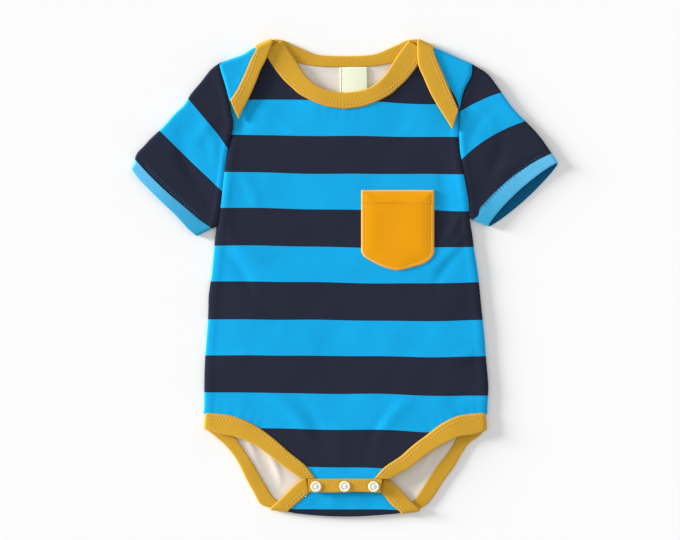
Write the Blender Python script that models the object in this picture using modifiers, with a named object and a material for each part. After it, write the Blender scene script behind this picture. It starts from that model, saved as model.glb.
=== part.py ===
"""Baby romper: a short-sleeved bodysuit with an envelope neck, laid flat on its back.

Lengths are in millimetres until a mesh is made. +X is to the right of the laid garment,
+Y runs from the crotch to the neck and +Z is up. The origin lies on the surface under
the middle of the garment, and the back panel rests on it.

Each cut piece is a middle surface given its wall by Solidify. Panels are patches between
their own edges. Bindings are strips between a panel's edge and a free edge. Where a
piece turns over, at the shoulders, the crotch and the leg corners, it follows an arc.
"""
import math

import bmesh
import bpy
import numpy as np
from mathutils import Matrix

MM = 0.001

# Cloth
WALL = 1.2              # jersey, one layer with its seam allowance
BINDING_WALL = 2.0      # rib folded over a panel's edge
PLACKET_WALL = 1.8
POCKET_WALL = 1.0
LABEL_WALL = 1.0
GAP = 0.3               # air between pieces that are sewn together
SEAM_GAP = 0.4          # the same, where both edges are curved
CORNER_GAP = 1.2        # along a fold, where a binding turns round a panel's corner
ARMHOLE_GAP = 0.8

# Heights of the middle surfaces above the floor
BACK_Z = WALL / 2
BACK_BINDING_Z = BINDING_WALL / 2
SIDE_SEAM_Z = 2.1       # where the front and back panels are sewn together
SIDE_SEAM_OPENING = 1.0 # between their middle surfaces there, as the rolled walls lean in
FRONT_EDGE_Z = 3.6      # front panel just inside the side seam
CHEST_LOFT = 0.8        # extra height in the middle of the front
CHEST_LOFT_REACH = 40.0
SHOULDER_DROP = 1.1     # the front sinks again under the shoulder laps
DROP_FROM_Y, DROP_OVER_Y = 90.0, 50.0
DROP_FROM_X, DROP_OVER_X = 20.0, 35.0
CROTCH_RISE = 2.6       # and climbs over the crotch flap
RISE_FROM_Y, RISE_OVER_Y = -120.0, 48.0
LAP_Z = 5.2
LAP_BINDING_Z = 5.6
FLAP_Z = 3.6
SLEEVE_TOP_Z = 4.2
PLACKET_Z = 6.9
ROLL_WIDTH = 2.6        # width of the rounded strip along a side seam

# Outlines of the right half of the garment, as (x, y) points
SIDE_SEAM = ((119.4, -114.6), (119.0, -61.0), (115.0, -18.0), (110.5, 29.0), (108.5, 45.0))
ARMHOLE = ((108.5, 45.0), (106.3, 58.0), (103.0, 76.0), (98.6, 100.0),
           (96.9, 118.0), (97.0, 140.0), (99.5, 157.0), (105.7, 179.9))
SHOULDER_OUTER = (107.0, 182.5)
SHOULDER_NECK = (76.0, 197.3)
TAB_END_SHORT = (0.6, 2.0)      # the front's shoulder tab ends this much inside the armhole's end
NECK_BINDING_AT_FOLD = 14.6     # width of the back neck binding where it turns over the shoulder
FRONT_NECK_EDGE = ((71.0, 193.5), (63.0, 178.0), (54.0, 168.3), (46.7, 161.0),
                   (38.9, 157.0), (27.0, 151.0), (15.0, 147.0), (0.0, 145.5))
FRONT_NECK_FREE = ((54.5, 202.3), (49.0, 195.0), (42.0, 185.0), (35.5, 174.5),
                   (28.6, 167.0), (21.5, 162.3), (12.6, 159.3), (0.0, 157.7))
BACK_NECK_EDGE = ((66.0, 192.0), (55.0, 188.4), (42.0, 184.5), (25.0, 181.3), (0.0, 180.5))
BACK_NECK_FREE = ((60.9, 203.2), (52.0, 202.2), (45.5, 199.0), (36.4, 195.0),
                  (25.0, 190.6), (13.0, 189.3), (0.0, 189.0))
LAP_EDGE = ((78.5, 187.0), (84.0, 173.5), (90.0, 161.0), (95.2, 150.5))
LAP_FREE = ((65.5, 182.0), (71.0, 168.5), (77.0, 155.5), (84.0, 143.5), (94.9, 129.5))
LEG_CORNER = (119.4, -114.6)
LEG_FRONT_EDGE = ((116.2, -114.7), (106.0, -115.5), (93.5, -117.8), (77.0, -125.0),
                  (62.0, -135.5), (47.5, -148.0), (34.0, -159.0), (25.5, -170.6))
LEG_FRONT_FREE = ((116.2, -127.3), (104.5, -131.5), (93.0, -134.0), (78.7, -140.0),
                  (66.0, -148.6), (54.3, -157.5), (43.5, -165.5), (37.0, -170.6))
LEG_BACK_EDGE = ((116.2, -114.7), (105.5, -120.5), (95.5, -133.5), (88.0, -146.5),
                 (79.5, -160.0), (71.5, -175.0), (62.0, -187.0), (48.4, -196.5))
LEG_BACK_FREE = ((116.2, -127.3), (109.0, -133.5), (101.0, -141.5), (91.5, -155.0),
                 (83.0, -172.4), (76.0, -184.0), (70.3, -189.6))
CROTCH_FOLD_Y = -199.4  # middle of the crotch fold's base line
FLAP_END = (30.7, -182.3)
FLAP_FREE = ((70.3, -189.6), (56.7, -182.0), (46.2, -176.5), (37.2, -171.6), (31.4, -170.4))

# Sleeves: side of the body, cuff tip, cuff's lower corner, how far the back hem shows
SLEEVES = (
    ("sleeve_left", -1, (183.4, 94.0), (124.0, 38.0), 0.0),
    ("sleeve_right", 1, (180.6, 98.0), (121.8, 44.5), 6.0),
)
SLEEVE_HEAD = ((105.9, 179.0), (120.0, 168.5), (132.0, 156.0), (155.0, 128.0))

# Placket, snaps, pocket and label
PLACKET_HALF_LENGTH = 30.4
PLACKET_TOP = -171.3
PLACKET_BOTTOM = -182.0
SNAP_X = (-24.5, 0.0, 24.5)
SNAP_RADIUS = 4.6
SNAP_CAP_HEIGHT = 1.4
SNAP_BEVEL = 0.5
STUD_RADIUS = 4.2
STUD_HEIGHT = 0.9
STUD_BEVEL = 0.2
TAPE_BEVEL = 0.3         # on the plackets and the label
POCKET_CENTRE_X = 44.8
POCKET_HALF_WIDTH = 30.9
POCKET_TOP = 75.0
POCKET_CORNER = 20.0
POCKET_POINT = 7.0
POCKET_ROUNDNESS = 1.6   # power of the bottom edge: 1 is a plain V, 2 is a parabola
LABEL_LEFT, LABEL_RIGHT = -4.4, 19.5
LABEL_TOP, LABEL_BOTTOM = 179.9, 152.0

# Cells of the panels' grids
ROLL_CELLS = 3
LEG_CELLS = 8
SIDE_CELLS = 6
ARMHOLE_CELLS = 7
FRONT_CROTCH_CELLS = 4
NECK_CELLS = 8           # half of the neckline
CROTCH_CELLS = 6
LAP_CELLS = 6
FLAP_CELLS = 3
ARC_CELLS = 6
SLEEVE_CELLS = 6
POCKET_ROWS, POCKET_COLUMNS = 4, 8
SNAP_SIDES = 20
FINE_CELLS = 40          # of an armhole that is then cut again
SPLINE_STEPS = 24        # between two given points of a curve
MERGE_DISTANCE = 0.01

# name: base colour, roughness, metallic
FINISHES = {
    "jersey_striped": ((0.004, 0.40, 0.82, 1.0), 0.85, 0.0),
    "rib_mustard": ((0.72, 0.38, 0.03, 1.0), 0.85, 0.0),
    "jersey_mustard": ((0.87, 0.35, 0.003, 1.0), 0.85, 0.0),
    "label_cream": ((0.90, 0.94, 0.72, 1.0), 0.7, 0.0),
    "snap_white": ((0.88, 0.86, 0.74, 1.0), 0.35, 0.0),
}


def mirrored(points):
    """The same points on the other half of the garment: x becomes -x."""
    return np.asarray(points, float) * (-1.0, 1.0)


def curve(points, cells):
    """Smooth line through points, cut into cells of equal length.

    Between two points it is the Catmull-Rom cubic, whose slope at a point is half the
    step from the point before to the point after.
    """
    given = np.asarray(points, float)
    padded = np.vstack((2 * given[0] - given[1], given, 2 * given[-1] - given[-2]))
    t = np.linspace(0.0, 1.0, SPLINE_STEPS, endpoint=False)[:, None]
    spans = []
    for before, start, end, after in zip(padded, padded[1:], padded[2:], padded[3:]):
        spans.append(0.5 * (2 * start + (end - before) * t
                            + (2 * before - 5 * start + 4 * end - after) * t ** 2
                            + (3 * start - before - 3 * end + after) * t ** 3))
    fine = np.vstack(spans + [given[-1:]])
    return resampled(fine, np.linspace(0.0, 1.0, cells + 1))


def resampled(line, fractions):
    """Points at the given fractions of a line's length."""
    steps = np.linalg.norm(np.diff(line, axis=0), axis=1)
    length = np.concatenate(([0.0], np.cumsum(steps)))
    wanted = np.asarray(fractions) * length[-1]
    return np.stack([np.interp(wanted, length, line[:, axis]) for axis in range(line.shape[1])], 1)


def smooth_step(t):
    """0 below 0, 1 above 1 and 3t^2 - 2t^3 between."""
    t = np.clip(t, 0.0, 1.0)
    return t * t * (3.0 - 2.0 * t)


def distance_to_side_seam(xy):
    """Shortest way from points to the side seam of their own half."""
    seam = curve(SIDE_SEAM, SIDE_CELLS)
    point = np.stack((np.abs(xy[..., 0]), xy[..., 1]), -1)[..., None, :]
    start, run = seam[:-1], np.diff(seam, axis=0)
    along = np.clip(((point - start) * run).sum(-1) / (run ** 2).sum(-1), 0.0, 1.0)
    nearest = start + along[..., None] * run
    return np.linalg.norm(point - nearest, axis=-1).min(-1)


def roll(distance):
    """1 at a side seam, falling to 0 over ROLL_WIDTH as a quarter of an ellipse."""
    inside = 1.0 - np.clip(distance / ROLL_WIDTH, 0.0, 1.0)
    return 1.0 - np.sqrt(1.0 - inside ** 2)


def front_sheet_z(xy):
    """Height of the front away from its side seams: a lofted chest that drops under
    the shoulder laps and climbs over the crotch flap."""
    x, y = np.abs(xy[..., 0]), xy[..., 1]
    loft = CHEST_LOFT * smooth_step(distance_to_side_seam(xy) / CHEST_LOFT_REACH)
    under_laps = smooth_step((y - DROP_FROM_Y) / DROP_OVER_Y) * smooth_step((x - DROP_FROM_X) / DROP_OVER_X)
    drop = SHOULDER_DROP * under_laps
    rise = CROTCH_RISE * smooth_step((RISE_FROM_Y - y) / RISE_OVER_Y)
    return FRONT_EDGE_Z + loft - drop + rise


def front_z(xy):
    """The front panel's height, rolled down to the side seam."""
    sheet, edge = front_sheet_z(xy), SIDE_SEAM_Z + SIDE_SEAM_OPENING / 2
    return sheet + (edge - sheet) * roll(distance_to_side_seam(xy))


def back_z(xy):
    """The back panel's height, rolled up to the side seam."""
    return BACK_Z + (SIDE_SEAM_Z - SIDE_SEAM_OPENING / 2 - BACK_Z) * roll(distance_to_side_seam(xy))


def patch(bottom, top, side):
    """Grid of (x, y) points between a bottom line, a top line and two mirrored sides.

    A column runs from bottom to top in a straight line, moved over by the share that
    its place in the row gives it of each side's own curve.
    """
    v = ((side[:, 1] - side[0, 1]) / (side[-1, 1] - side[0, 1]))[:, None, None]
    u = np.linspace(0.0, 1.0, len(bottom))[None, :, None]
    grid = (1.0 - v) * bottom[None] + v * top[None]
    bulge = side[:, None] - (side[0] + v * (side[-1] - side[0]))
    return grid + (1.0 - u) * bulge * (-1.0, 1.0) + u * bulge


def with_roll_columns(grid):
    """Add the columns that a rolled edge needs, beside the first and last ones."""
    steps = 1.0 - np.cos(np.linspace(0.0, math.pi / 2, ROLL_CELLS + 1)[1:])
    reach = (ROLL_WIDTH * steps)[None, :, None]

    def beside(edge, inner):
        run = (inner - edge)[:, None]
        return edge[:, None] + run * reach / np.linalg.norm(run, axis=-1, keepdims=True)

    left = beside(grid[:, 0], grid[:, 1])
    right = beside(grid[:, -1], grid[:, -2])[:, ::-1]
    return np.concatenate((grid[:, :1], left, grid[:, 1:-1], right, grid[:, -1:]), 1)


def raised(xy, z):
    """(x, y) points and heights as (x, y, z) points."""
    return np.concatenate((xy, np.broadcast_to(np.asarray(z, float), xy.shape[:-1])[..., None]), -1)


def turn_over(base, outward, low, high):
    """Rows of half a circle from a line at height low to the same line at height high.

    The circle's middle is over the base line, and it swells along outward.
    """
    radius, middle = (high - low) / 2, (high + low) / 2
    angle = np.linspace(-math.pi / 2, math.pi / 2, ARC_CELLS + 1)[1:-1]
    xy = base[None] + radius * np.cos(angle)[:, None, None] * outward
    return raised(xy, middle + radius * np.sin(angle)[:, None])


def unit(vector):
    """The vector, or each row of vectors, at a length of 1."""
    vector = np.asarray(vector, float)
    return vector / np.linalg.norm(vector, axis=-1, keepdims=True)


def shoulder_fold(wall, low, high):
    """Outer and neck ends of the right shoulder's base line, and its outward direction."""
    run = unit(np.subtract(SHOULDER_OUTER, SHOULDER_NECK))
    outward = np.array((-run[1], run[0]))
    inset = (high - low) / 2 + wall / 2
    return np.asarray(SHOULDER_OUTER) - inset * outward, np.asarray(SHOULDER_NECK) - inset * outward, outward


def crotch_base():
    """Base line of the crotch fold, from left to right, bowed towards the legs."""
    half, end_y = LEG_BACK_EDGE[-1]
    x = np.linspace(-half, half, CROTCH_CELLS + 1)
    return np.stack((x, CROTCH_FOLD_Y + (end_y - CROTCH_FOLD_Y) * (x / half) ** 2), 1)


def make_material(name):
    colour, roughness, metallic = FINISHES[name]
    material = bpy.data.materials.new(name)
    material.use_nodes = True
    shader = material.node_tree.nodes["Principled BSDF"]
    shader.inputs["Base Color"].default_value = colour
    shader.inputs["Roughness"].default_value = roughness
    shader.inputs["Metallic"].default_value = metallic
    return material


def add_object(collection, name, mesh, material):
    piece = bpy.data.objects.new(name, mesh)
    collection.objects.link(piece)
    mesh.materials.append(material)
    mesh.shade_smooth()
    return piece


def cloth(collection, name, grids, wall, material, closed=False):
    """One cloth piece from grids of points that share their common edges.

    closed joins each row's last point to its first.
    """
    shape = bmesh.new()
    for grid in grids:
        rows, columns = grid.shape[:2]
        verts = [[shape.verts.new(point * MM) for point in row] for row in grid]
        for i in range(rows - 1):
            for j in range(columns if closed else columns - 1):
                k = (j + 1) % columns
                shape.faces.new((verts[i][j], verts[i][k], verts[i + 1][k], verts[i + 1][j]))
    bmesh.ops.remove_doubles(shape, verts=shape.verts, dist=MERGE_DISTANCE * MM)
    bmesh.ops.recalc_face_normals(shape, faces=shape.faces)
    mesh = bpy.data.meshes.new(name)
    shape.to_mesh(mesh)
    shape.free()
    piece = add_object(collection, name, mesh, material)
    solid = piece.modifiers.new("Wall", "SOLIDIFY")
    solid.thickness = wall * MM
    solid.offset = 0.0
    solid.use_even_offset = True
    return piece


def plate(collection, name, low, high, material):
    """A flat strip or tape between two opposite corners, with softened edges."""
    bpy.ops.mesh.primitive_cube_add(size=1.0)
    piece = take_primitive(collection, name, material)
    size = np.subtract(high, low) * MM
    piece.data.transform(Matrix.Diagonal((*size, 1.0)))
    piece.location = np.add(low, high) / 2 * MM
    soften(piece, TAPE_BEVEL)
    return piece


def disc(collection, name, centre, radius, height, material, bevel):
    """A snap part: a round plate standing on its centre's height."""
    bpy.ops.mesh.primitive_cylinder_add(vertices=SNAP_SIDES, radius=radius * MM, depth=height * MM)
    piece = take_primitive(collection, name, material)
    piece.location = (centre[0] * MM, centre[1] * MM, (centre[2] + height / 2) * MM)
    soften(piece, bevel)
    return piece


def take_primitive(collection, name, material):
    """Name the primitive that was just added and move it into the garment's collection."""
    piece = bpy.context.active_object
    for owner in list(piece.users_collection):
        owner.objects.unlink(piece)
    collection.objects.link(piece)
    piece.name = piece.data.name = name
    piece.data.materials.append(material)
    return piece


def soften(piece, width):
    edge = piece.modifiers.new("Soft edge", "BEVEL")
    edge.width = width * MM
    edge.segments = 1


def add_front_panel(collection, material):
    """Front: two leg curves, side seams, armholes, and tabs that end under the laps."""
    leg = np.vstack((LEG_CORNER, curve(LEG_FRONT_EDGE, LEG_CELLS)))
    crotch = np.linspace(mirrored(leg[-1]), leg[-1], FRONT_CROTCH_CELLS + 1)
    bottom = np.vstack((mirrored(leg), crotch[1:-1], leg[::-1]))
    side = np.vstack((curve(SIDE_SEAM, SIDE_CELLS), curve(ARMHOLE, ARMHOLE_CELLS)[1:]))
    side[-1] -= TAB_END_SHORT
    tab_points = (len(bottom) + 1) // 2 - NECK_CELLS
    tab = np.linspace(side[-1], FRONT_NECK_EDGE[0], tab_points)
    half = np.vstack((tab, curve(FRONT_NECK_EDGE, NECK_CELLS)[1:]))
    top = np.vstack((mirrored(half), half[-2::-1]))
    xy = with_roll_columns(patch(bottom, top, side))
    cloth(collection, "front_panel", [raised(xy, front_z(xy))], WALL, material)


def add_back_panel(collection, material):
    """Back: lies on the floor, turns over each shoulder as a lap, and turns over the
    crotch as the flap that carries the lower snaps."""
    leg = np.vstack((LEG_CORNER, curve(LEG_BACK_EDGE, LEG_CELLS)))
    bottom = np.vstack((mirrored(leg), crotch_base()[1:-1], leg[::-1]))
    side = np.vstack((curve(SIDE_SEAM, SIDE_CELLS), curve(ARMHOLE, ARMHOLE_CELLS)[1:]))
    outer, neck_end, outward = shoulder_fold(WALL, BACK_Z, LAP_Z)
    side[-1] = outer
    shoulder_points = (len(bottom) + 1) // 2 - NECK_CELLS
    shoulder = np.linspace(outer, neck_end, shoulder_points)
    half = np.vstack((shoulder, curve((neck_end, *BACK_NECK_EDGE), NECK_CELLS)[1:]))
    top = np.vstack((mirrored(half), half[-2::-1]))
    xy = with_roll_columns(patch(bottom, top, side))
    grids = [raised(xy, back_z(xy))]

    # Shoulder laps: over the fold and down to the armhole
    base = xy[-1, -(shoulder_points + ROLL_CELLS):]
    share = np.linalg.norm(base - outer, axis=1) / np.linalg.norm(neck_end - outer)
    armhole = curve(ARMHOLE, FINE_CELLS)[:-1]
    above_tip = armhole[:, 1] > LAP_EDGE[-1][1]
    armhole_side = np.vstack((outer, armhole[above_tip][::-1]))
    neck_side = curve((neck_end, *LAP_EDGE), LAP_CELLS)
    rows = np.linspace(0.0, 1.0, LAP_CELLS + 1)
    armhole_side = resampled(armhole_side, rows)
    lap_xy = (1 - share)[None, :, None] * armhole_side[:, None] + share[None, :, None] * neck_side[:, None]
    for flip in (1.0, -1.0):
        turn = (flip, 1.0)
        over = turn_over(base * turn, outward * turn, BACK_Z, LAP_Z)
        grids.append(np.concatenate((raised(base * turn, BACK_Z)[None], over,
                                     raised(lap_xy * turn, LAP_Z))))

    # Crotch flap: over the fold and up to its placket
    base = crotch_base()
    end = np.linspace(mirrored(FLAP_END), FLAP_END, CROTCH_CELLS + 1)
    slope = np.gradient(base[:, 1], base[:, 0])
    outward = unit(np.stack((slope, -np.ones_like(slope)), 1))
    rise = np.linspace(0.0, 1.0, FLAP_CELLS + 1)[:, None, None]
    flap_xy = (1 - rise) * base + rise * end
    over = turn_over(base, outward, BACK_Z, FLAP_Z)
    grids.append(np.concatenate((raised(base, BACK_Z)[None], over, raised(flap_xy, FLAP_Z))))
    cloth(collection, "back_panel", grids, WALL, material)


def strip(edge, free, z):
    """Cross lines of a binding, from its sewn edge to its free edge.

    The sewn edge stands SEAM_GAP away from the panel's, square to it.
    """
    run = unit(np.gradient(edge, axis=0))
    square = np.stack((-run[:, 1], run[:, 0]), 1)
    side = np.sign((square * (free - edge)).sum(1))[:, None]
    line = np.stack((edge + SEAM_GAP * side * square, free), 1)
    return raised(line, z(line) if callable(z) else z)


def fold_line(cross_line, outward, low, high):
    """Cross lines of a binding that turns over: the first one lies low, the last high."""
    over = turn_over(cross_line, outward, low, high)
    return np.concatenate((raised(cross_line, low)[None], over, raised(cross_line, high)[None]))


def add_leg_bindings(collection, material):
    """Each runs along the front's leg edge, round the side, down the back's leg edge,
    and over the crotch fold to the end of the flap."""
    front = strip(curve(LEG_FRONT_EDGE, LEG_CELLS), curve(LEG_FRONT_FREE, LEG_CELLS), front_sheet_z)[::-1]
    back = strip(curve(LEG_BACK_EDGE, LEG_CELLS), curve(LEG_BACK_FREE, LEG_CELLS), BACK_BINDING_Z)
    flap_edge = np.linspace(LEG_BACK_EDGE[-1], FLAP_END, FLAP_CELLS + 1)
    flap = strip(flap_edge, curve(FLAP_FREE, FLAP_CELLS), FLAP_Z)
    side = fold_line(back[0, :, :2], np.array((1.0, 0.0)), BACK_BINDING_Z, FRONT_EDGE_Z)[::-1]
    run = unit(np.subtract(LEG_BACK_FREE[-1], LEG_BACK_EDGE[-1]))
    crotch_line = np.stack((LEG_BACK_EDGE[-1] + CORNER_GAP * run, LEG_BACK_FREE[-1]))
    crotch = fold_line(crotch_line, np.array((run[1], -run[0])), BACK_BINDING_Z, FLAP_Z)
    grid = np.concatenate((front[:-1], side, back[1:-1], crotch, flap[1:]))
    for name, flip in (("leg_binding_left", -1.0), ("leg_binding_right", 1.0)):
        cloth(collection, name, [grid * (flip, 1.0, 1.0)], BINDING_WALL, material)


def add_neck_bindings(collection, material):
    """The front's binding ends at the shoulders. The back's runs on over both folds
    and down the laps' edges to the armholes."""
    front = strip(curve(FRONT_NECK_EDGE, NECK_CELLS), curve(FRONT_NECK_FREE, NECK_CELLS), front_sheet_z)
    grid = np.concatenate((front * (-1.0, 1.0, 1.0), front[-2::-1]))
    cloth(collection, "neck_binding_front", [grid], BINDING_WALL, material)

    _, neck_end, outward = shoulder_fold(BINDING_WALL, BACK_BINDING_Z, LAP_BINDING_Z)
    fold_free = neck_end + unit(np.subtract(SHOULDER_NECK, SHOULDER_OUTER)) * NECK_BINDING_AT_FOLD
    fold = np.stack((neck_end + CORNER_GAP * unit(fold_free - neck_end), fold_free))
    lap = strip(curve((neck_end, *LAP_EDGE), LAP_CELLS), curve((fold_free, *LAP_FREE), LAP_CELLS),
                LAP_BINDING_Z)
    back = strip(curve((neck_end, *BACK_NECK_EDGE), NECK_CELLS),
                 curve((fold_free, *BACK_NECK_FREE), NECK_CELLS), BACK_BINDING_Z)
    over = fold_line(fold, outward, BACK_BINDING_Z, LAP_BINDING_Z)
    half = np.concatenate((lap[:0:-1], over[::-1], back[1:]))
    grid = np.concatenate((half * (-1.0, 1.0, 1.0), half[-2::-1]))
    cloth(collection, "neck_binding_back", [grid], BINDING_WALL, material)


def add_sleeves(collection, material):
    """Each is a flattened tube: two layers joined by a round fold along the sleeve's
    head and another along its short underarm seam, open at the armhole and the cuff."""
    radius, middle = (SLEEVE_TOP_Z - BACK_Z) / 2, (SLEEVE_TOP_Z + BACK_Z) / 2
    inset = WALL / 2
    angle = np.linspace(0.0, math.pi / 2, ROLL_CELLS + 1)
    fold_reach, fold_lift = radius * (1 - np.cos(angle)), radius * np.sin(angle)
    rows = np.linspace(0.0, 1.0, SLEEVE_CELLS + 1)
    armhole = curve(ARMHOLE, FINE_CELLS)[::-1] + (ARMHOLE_GAP, 0.0)
    for name, flip, tip, corner, back_shows in SLEEVES:
        head = curve((*SLEEVE_HEAD, tip), SLEEVE_CELLS) - (inset, inset)
        head[0] = armhole[0]
        underarm = np.linspace(armhole[-1], np.subtract(corner, (0.0, -inset)), SLEEVE_CELLS + 1)
        layers = []
        for lift, shows in ((1.0, 0.0), (-1.0, back_shows)):
            layer = []
            for row in range(SLEEVE_CELLS + 1):
                line = sleeve_line(armhole, head[row], underarm[row], rows[row], shows)
                width = np.linalg.norm(np.diff(line, axis=0), axis=1).sum()
                share = np.concatenate((fold_reach / width, np.linspace(0.0, 1.0, SLEEVE_CELLS + 1)[1:-1],
                                        1.0 - fold_reach[::-1] / width))
                height = np.concatenate((fold_lift, np.full(SLEEVE_CELLS - 1, radius), fold_lift[::-1]))
                layer.append(raised(resampled(line, share), middle + lift * height))
            layers.append(np.array(layer))
        tube = np.concatenate((layers[0], layers[1][:, -2:0:-1]), 1) * (flip, 1.0, 1.0)
        cloth(collection, name, [tube], WALL, material, closed=True)


def sleeve_line(armhole, head, underarm, along, shows):
    """A line across the sleeve: the armhole's own bend fades out towards the cuff,
    where the back hem stands out by shows in the middle."""
    share = np.linspace(0.0, 1.0, len(armhole))[:, None]
    straight = armhole[0] + share * (armhole[-1] - armhole[0])
    chord = head + share * (underarm - head)
    run = unit(underarm - head)
    out = np.array((-run[1], run[0]))
    belly = shows * along ** 4 * np.sin(math.pi * share) ** 0.7
    return chord + (1 - along) * (armhole - straight) + belly * out


def add_pocket(collection, material):
    """Chest pocket with a straight top and a shield-shaped bottom, on the front."""
    across = np.linspace(-1.0, 1.0, POCKET_COLUMNS + 1)
    bottom = POCKET_POINT + (POCKET_CORNER - POCKET_POINT) * np.abs(across) ** POCKET_ROUNDNESS
    share = np.linspace(0.0, 1.0, POCKET_ROWS + 1)[:, None]
    y = bottom + (POCKET_TOP - bottom) * share
    x = np.broadcast_to(POCKET_CENTRE_X + POCKET_HALF_WIDTH * across, y.shape)
    z = FRONT_EDGE_Z + CHEST_LOFT + WALL / 2 + GAP + POCKET_WALL / 2
    cloth(collection, "chest_pocket", [raised(np.stack((x, y), -1), z)], POCKET_WALL, material)


def add_plackets_and_snaps(collection, rib, white):
    """The front placket lies over the flap's placket, with the snaps between and on top."""
    for name, middle in (("placket_front", PLACKET_Z), ("placket_back", FLAP_Z)):
        low = (-PLACKET_HALF_LENGTH, PLACKET_BOTTOM, middle - PLACKET_WALL / 2)
        high = (PLACKET_HALF_LENGTH, PLACKET_TOP, middle + PLACKET_WALL / 2)
        plate(collection, name, low, high, rib)
    row_y = (PLACKET_TOP + PLACKET_BOTTOM) / 2
    cap_z = PLACKET_Z + PLACKET_WALL / 2 + GAP
    stud_z = FLAP_Z + PLACKET_WALL / 2 + GAP
    for number, x in enumerate(SNAP_X, start=1):
        cap_place, stud_place = (x, row_y, cap_z), (x, row_y, stud_z)
        disc(collection, f"snap_cap_{number}", cap_place, SNAP_RADIUS, SNAP_CAP_HEIGHT, white, SNAP_BEVEL)
        disc(collection, f"snap_stud_{number}", stud_place, STUD_RADIUS, STUD_HEIGHT, white, STUD_BEVEL)


def main():
    for old in list(bpy.data.objects):
        bpy.data.objects.remove(old, do_unlink=True)
    collection = bpy.data.collections.new("baby_romper")
    bpy.context.scene.collection.children.link(collection)
    material = {name: make_material(name) for name in FINISHES}

    add_back_panel(collection, material["jersey_striped"])
    add_front_panel(collection, material["jersey_striped"])
    add_sleeves(collection, material["jersey_striped"])
    add_leg_bindings(collection, material["rib_mustard"])
    add_neck_bindings(collection, material["rib_mustard"])
    add_pocket(collection, material["jersey_mustard"])
    label_low = (LABEL_LEFT, LABEL_BOTTOM, WALL + GAP)
    plate(collection, "neck_label", label_low, (LABEL_RIGHT, LABEL_TOP, WALL + GAP + LABEL_WALL),
          material["label_cream"])
    add_plackets_and_snaps(collection, material["rib_mustard"], material["snap_white"])


main()
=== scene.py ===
"""Baby romper laid flat on its back: cloth, trims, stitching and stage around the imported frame.

Lengths in the tables are millimetres and meshes are made in metres. +X is to the right of
the laid garment, +Y runs from the crotch to the neck and +Z is up, as in the frame.

Every cloth piece is a middle surface worked out on a grid: an outline in plan, a height,
and soft creases added to the height. Solidify then gives it the cloth's thickness.
"""

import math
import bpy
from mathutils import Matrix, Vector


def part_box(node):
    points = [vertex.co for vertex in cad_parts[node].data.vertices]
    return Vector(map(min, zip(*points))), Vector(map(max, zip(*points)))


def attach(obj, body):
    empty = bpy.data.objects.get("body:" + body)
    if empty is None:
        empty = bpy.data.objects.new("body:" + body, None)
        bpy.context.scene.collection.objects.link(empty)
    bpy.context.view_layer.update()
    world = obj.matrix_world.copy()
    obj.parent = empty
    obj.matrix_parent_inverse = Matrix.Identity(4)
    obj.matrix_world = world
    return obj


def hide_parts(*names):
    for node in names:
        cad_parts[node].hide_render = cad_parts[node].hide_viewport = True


bl_info = {
    "name": "Baby Romper",
    "version": (1, 0, 0),
    "blender": (4, 5, 0),
    "location": "3D View > Sidebar > Romper",
    "description": "Builds a striped short-sleeved baby romper, laid flat, around its frame",
    "category": "Object",
}

from types import SimpleNamespace

import bmesh
import bpy
import numpy as np
from bpy.props import FloatProperty, FloatVectorProperty, PointerProperty

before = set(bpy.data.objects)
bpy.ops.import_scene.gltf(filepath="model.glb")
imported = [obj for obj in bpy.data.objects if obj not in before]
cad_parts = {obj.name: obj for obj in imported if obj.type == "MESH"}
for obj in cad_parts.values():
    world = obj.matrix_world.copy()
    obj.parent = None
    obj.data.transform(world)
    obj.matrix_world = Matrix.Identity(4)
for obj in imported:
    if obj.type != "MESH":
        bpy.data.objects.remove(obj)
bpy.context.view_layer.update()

MM = 0.001
CAMERA_AIM = (-4.25, 7.225)     # where the camera looks at the floor
VIEW_WIDTH = 578                # width of the floor that it sees
SENSOR_MM = 36
FLOOR_WIDTH = 3                 # metres
FLOOR_WHITE = 0.945
KEY_FROM = (-1.0, 0.30, 0.21)   # towards the key light

# Outlines of the right half of the garment, as (x, y) points
SIDE_SEAM = ((119.4, -114.6), (119, -61), (115, -18), (110.5, 29), (108.5, 45))
ARMHOLE = ((108.5, 45), (106.3, 58), (103, 76), (98.6, 100),
           (96.9, 118), (97, 140), (99.5, 157), (105.7, 179.9))
SHOULDER_OUTER = (107, 182.5)
SHOULDER_NECK = (76, 197.3)
TAB_END_SHORT = (0.6, 2)        # the front's tabs end this far before the armhole's end
TAB_STRIPE = -0.97              # and lie within this place in the navy stripe over the chest
NECK_BINDING_AT_FOLD = 14.6     # width of the neck's binding at the shoulder's fold
FRONT_NECK_EDGE = ((69, 193.5), (64, 185.7), (58.3, 177.2), (51.3, 168.7), (45.5, 163.3),
                   (38.3, 157), (27, 151), (15, 146.6), (0, 144.4))
FRONT_NECK_FREE = ((54.5, 202.3), (49, 195), (42, 185), (35.5, 174.5),
                   (28.6, 167), (21.5, 162.3), (12.6, 159.3), (0, 157.7))
BACK_NECK_EDGE = ((66, 192), (55, 188.4), (42, 184.5), (25, 181.3), (0, 180.5))
BACK_NECK_FREE = ((60.9, 203.2), (52, 202.2), (45.5, 199), (36.4, 195),
                  (25, 190.6), (13, 189.3), (0, 189))
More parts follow.
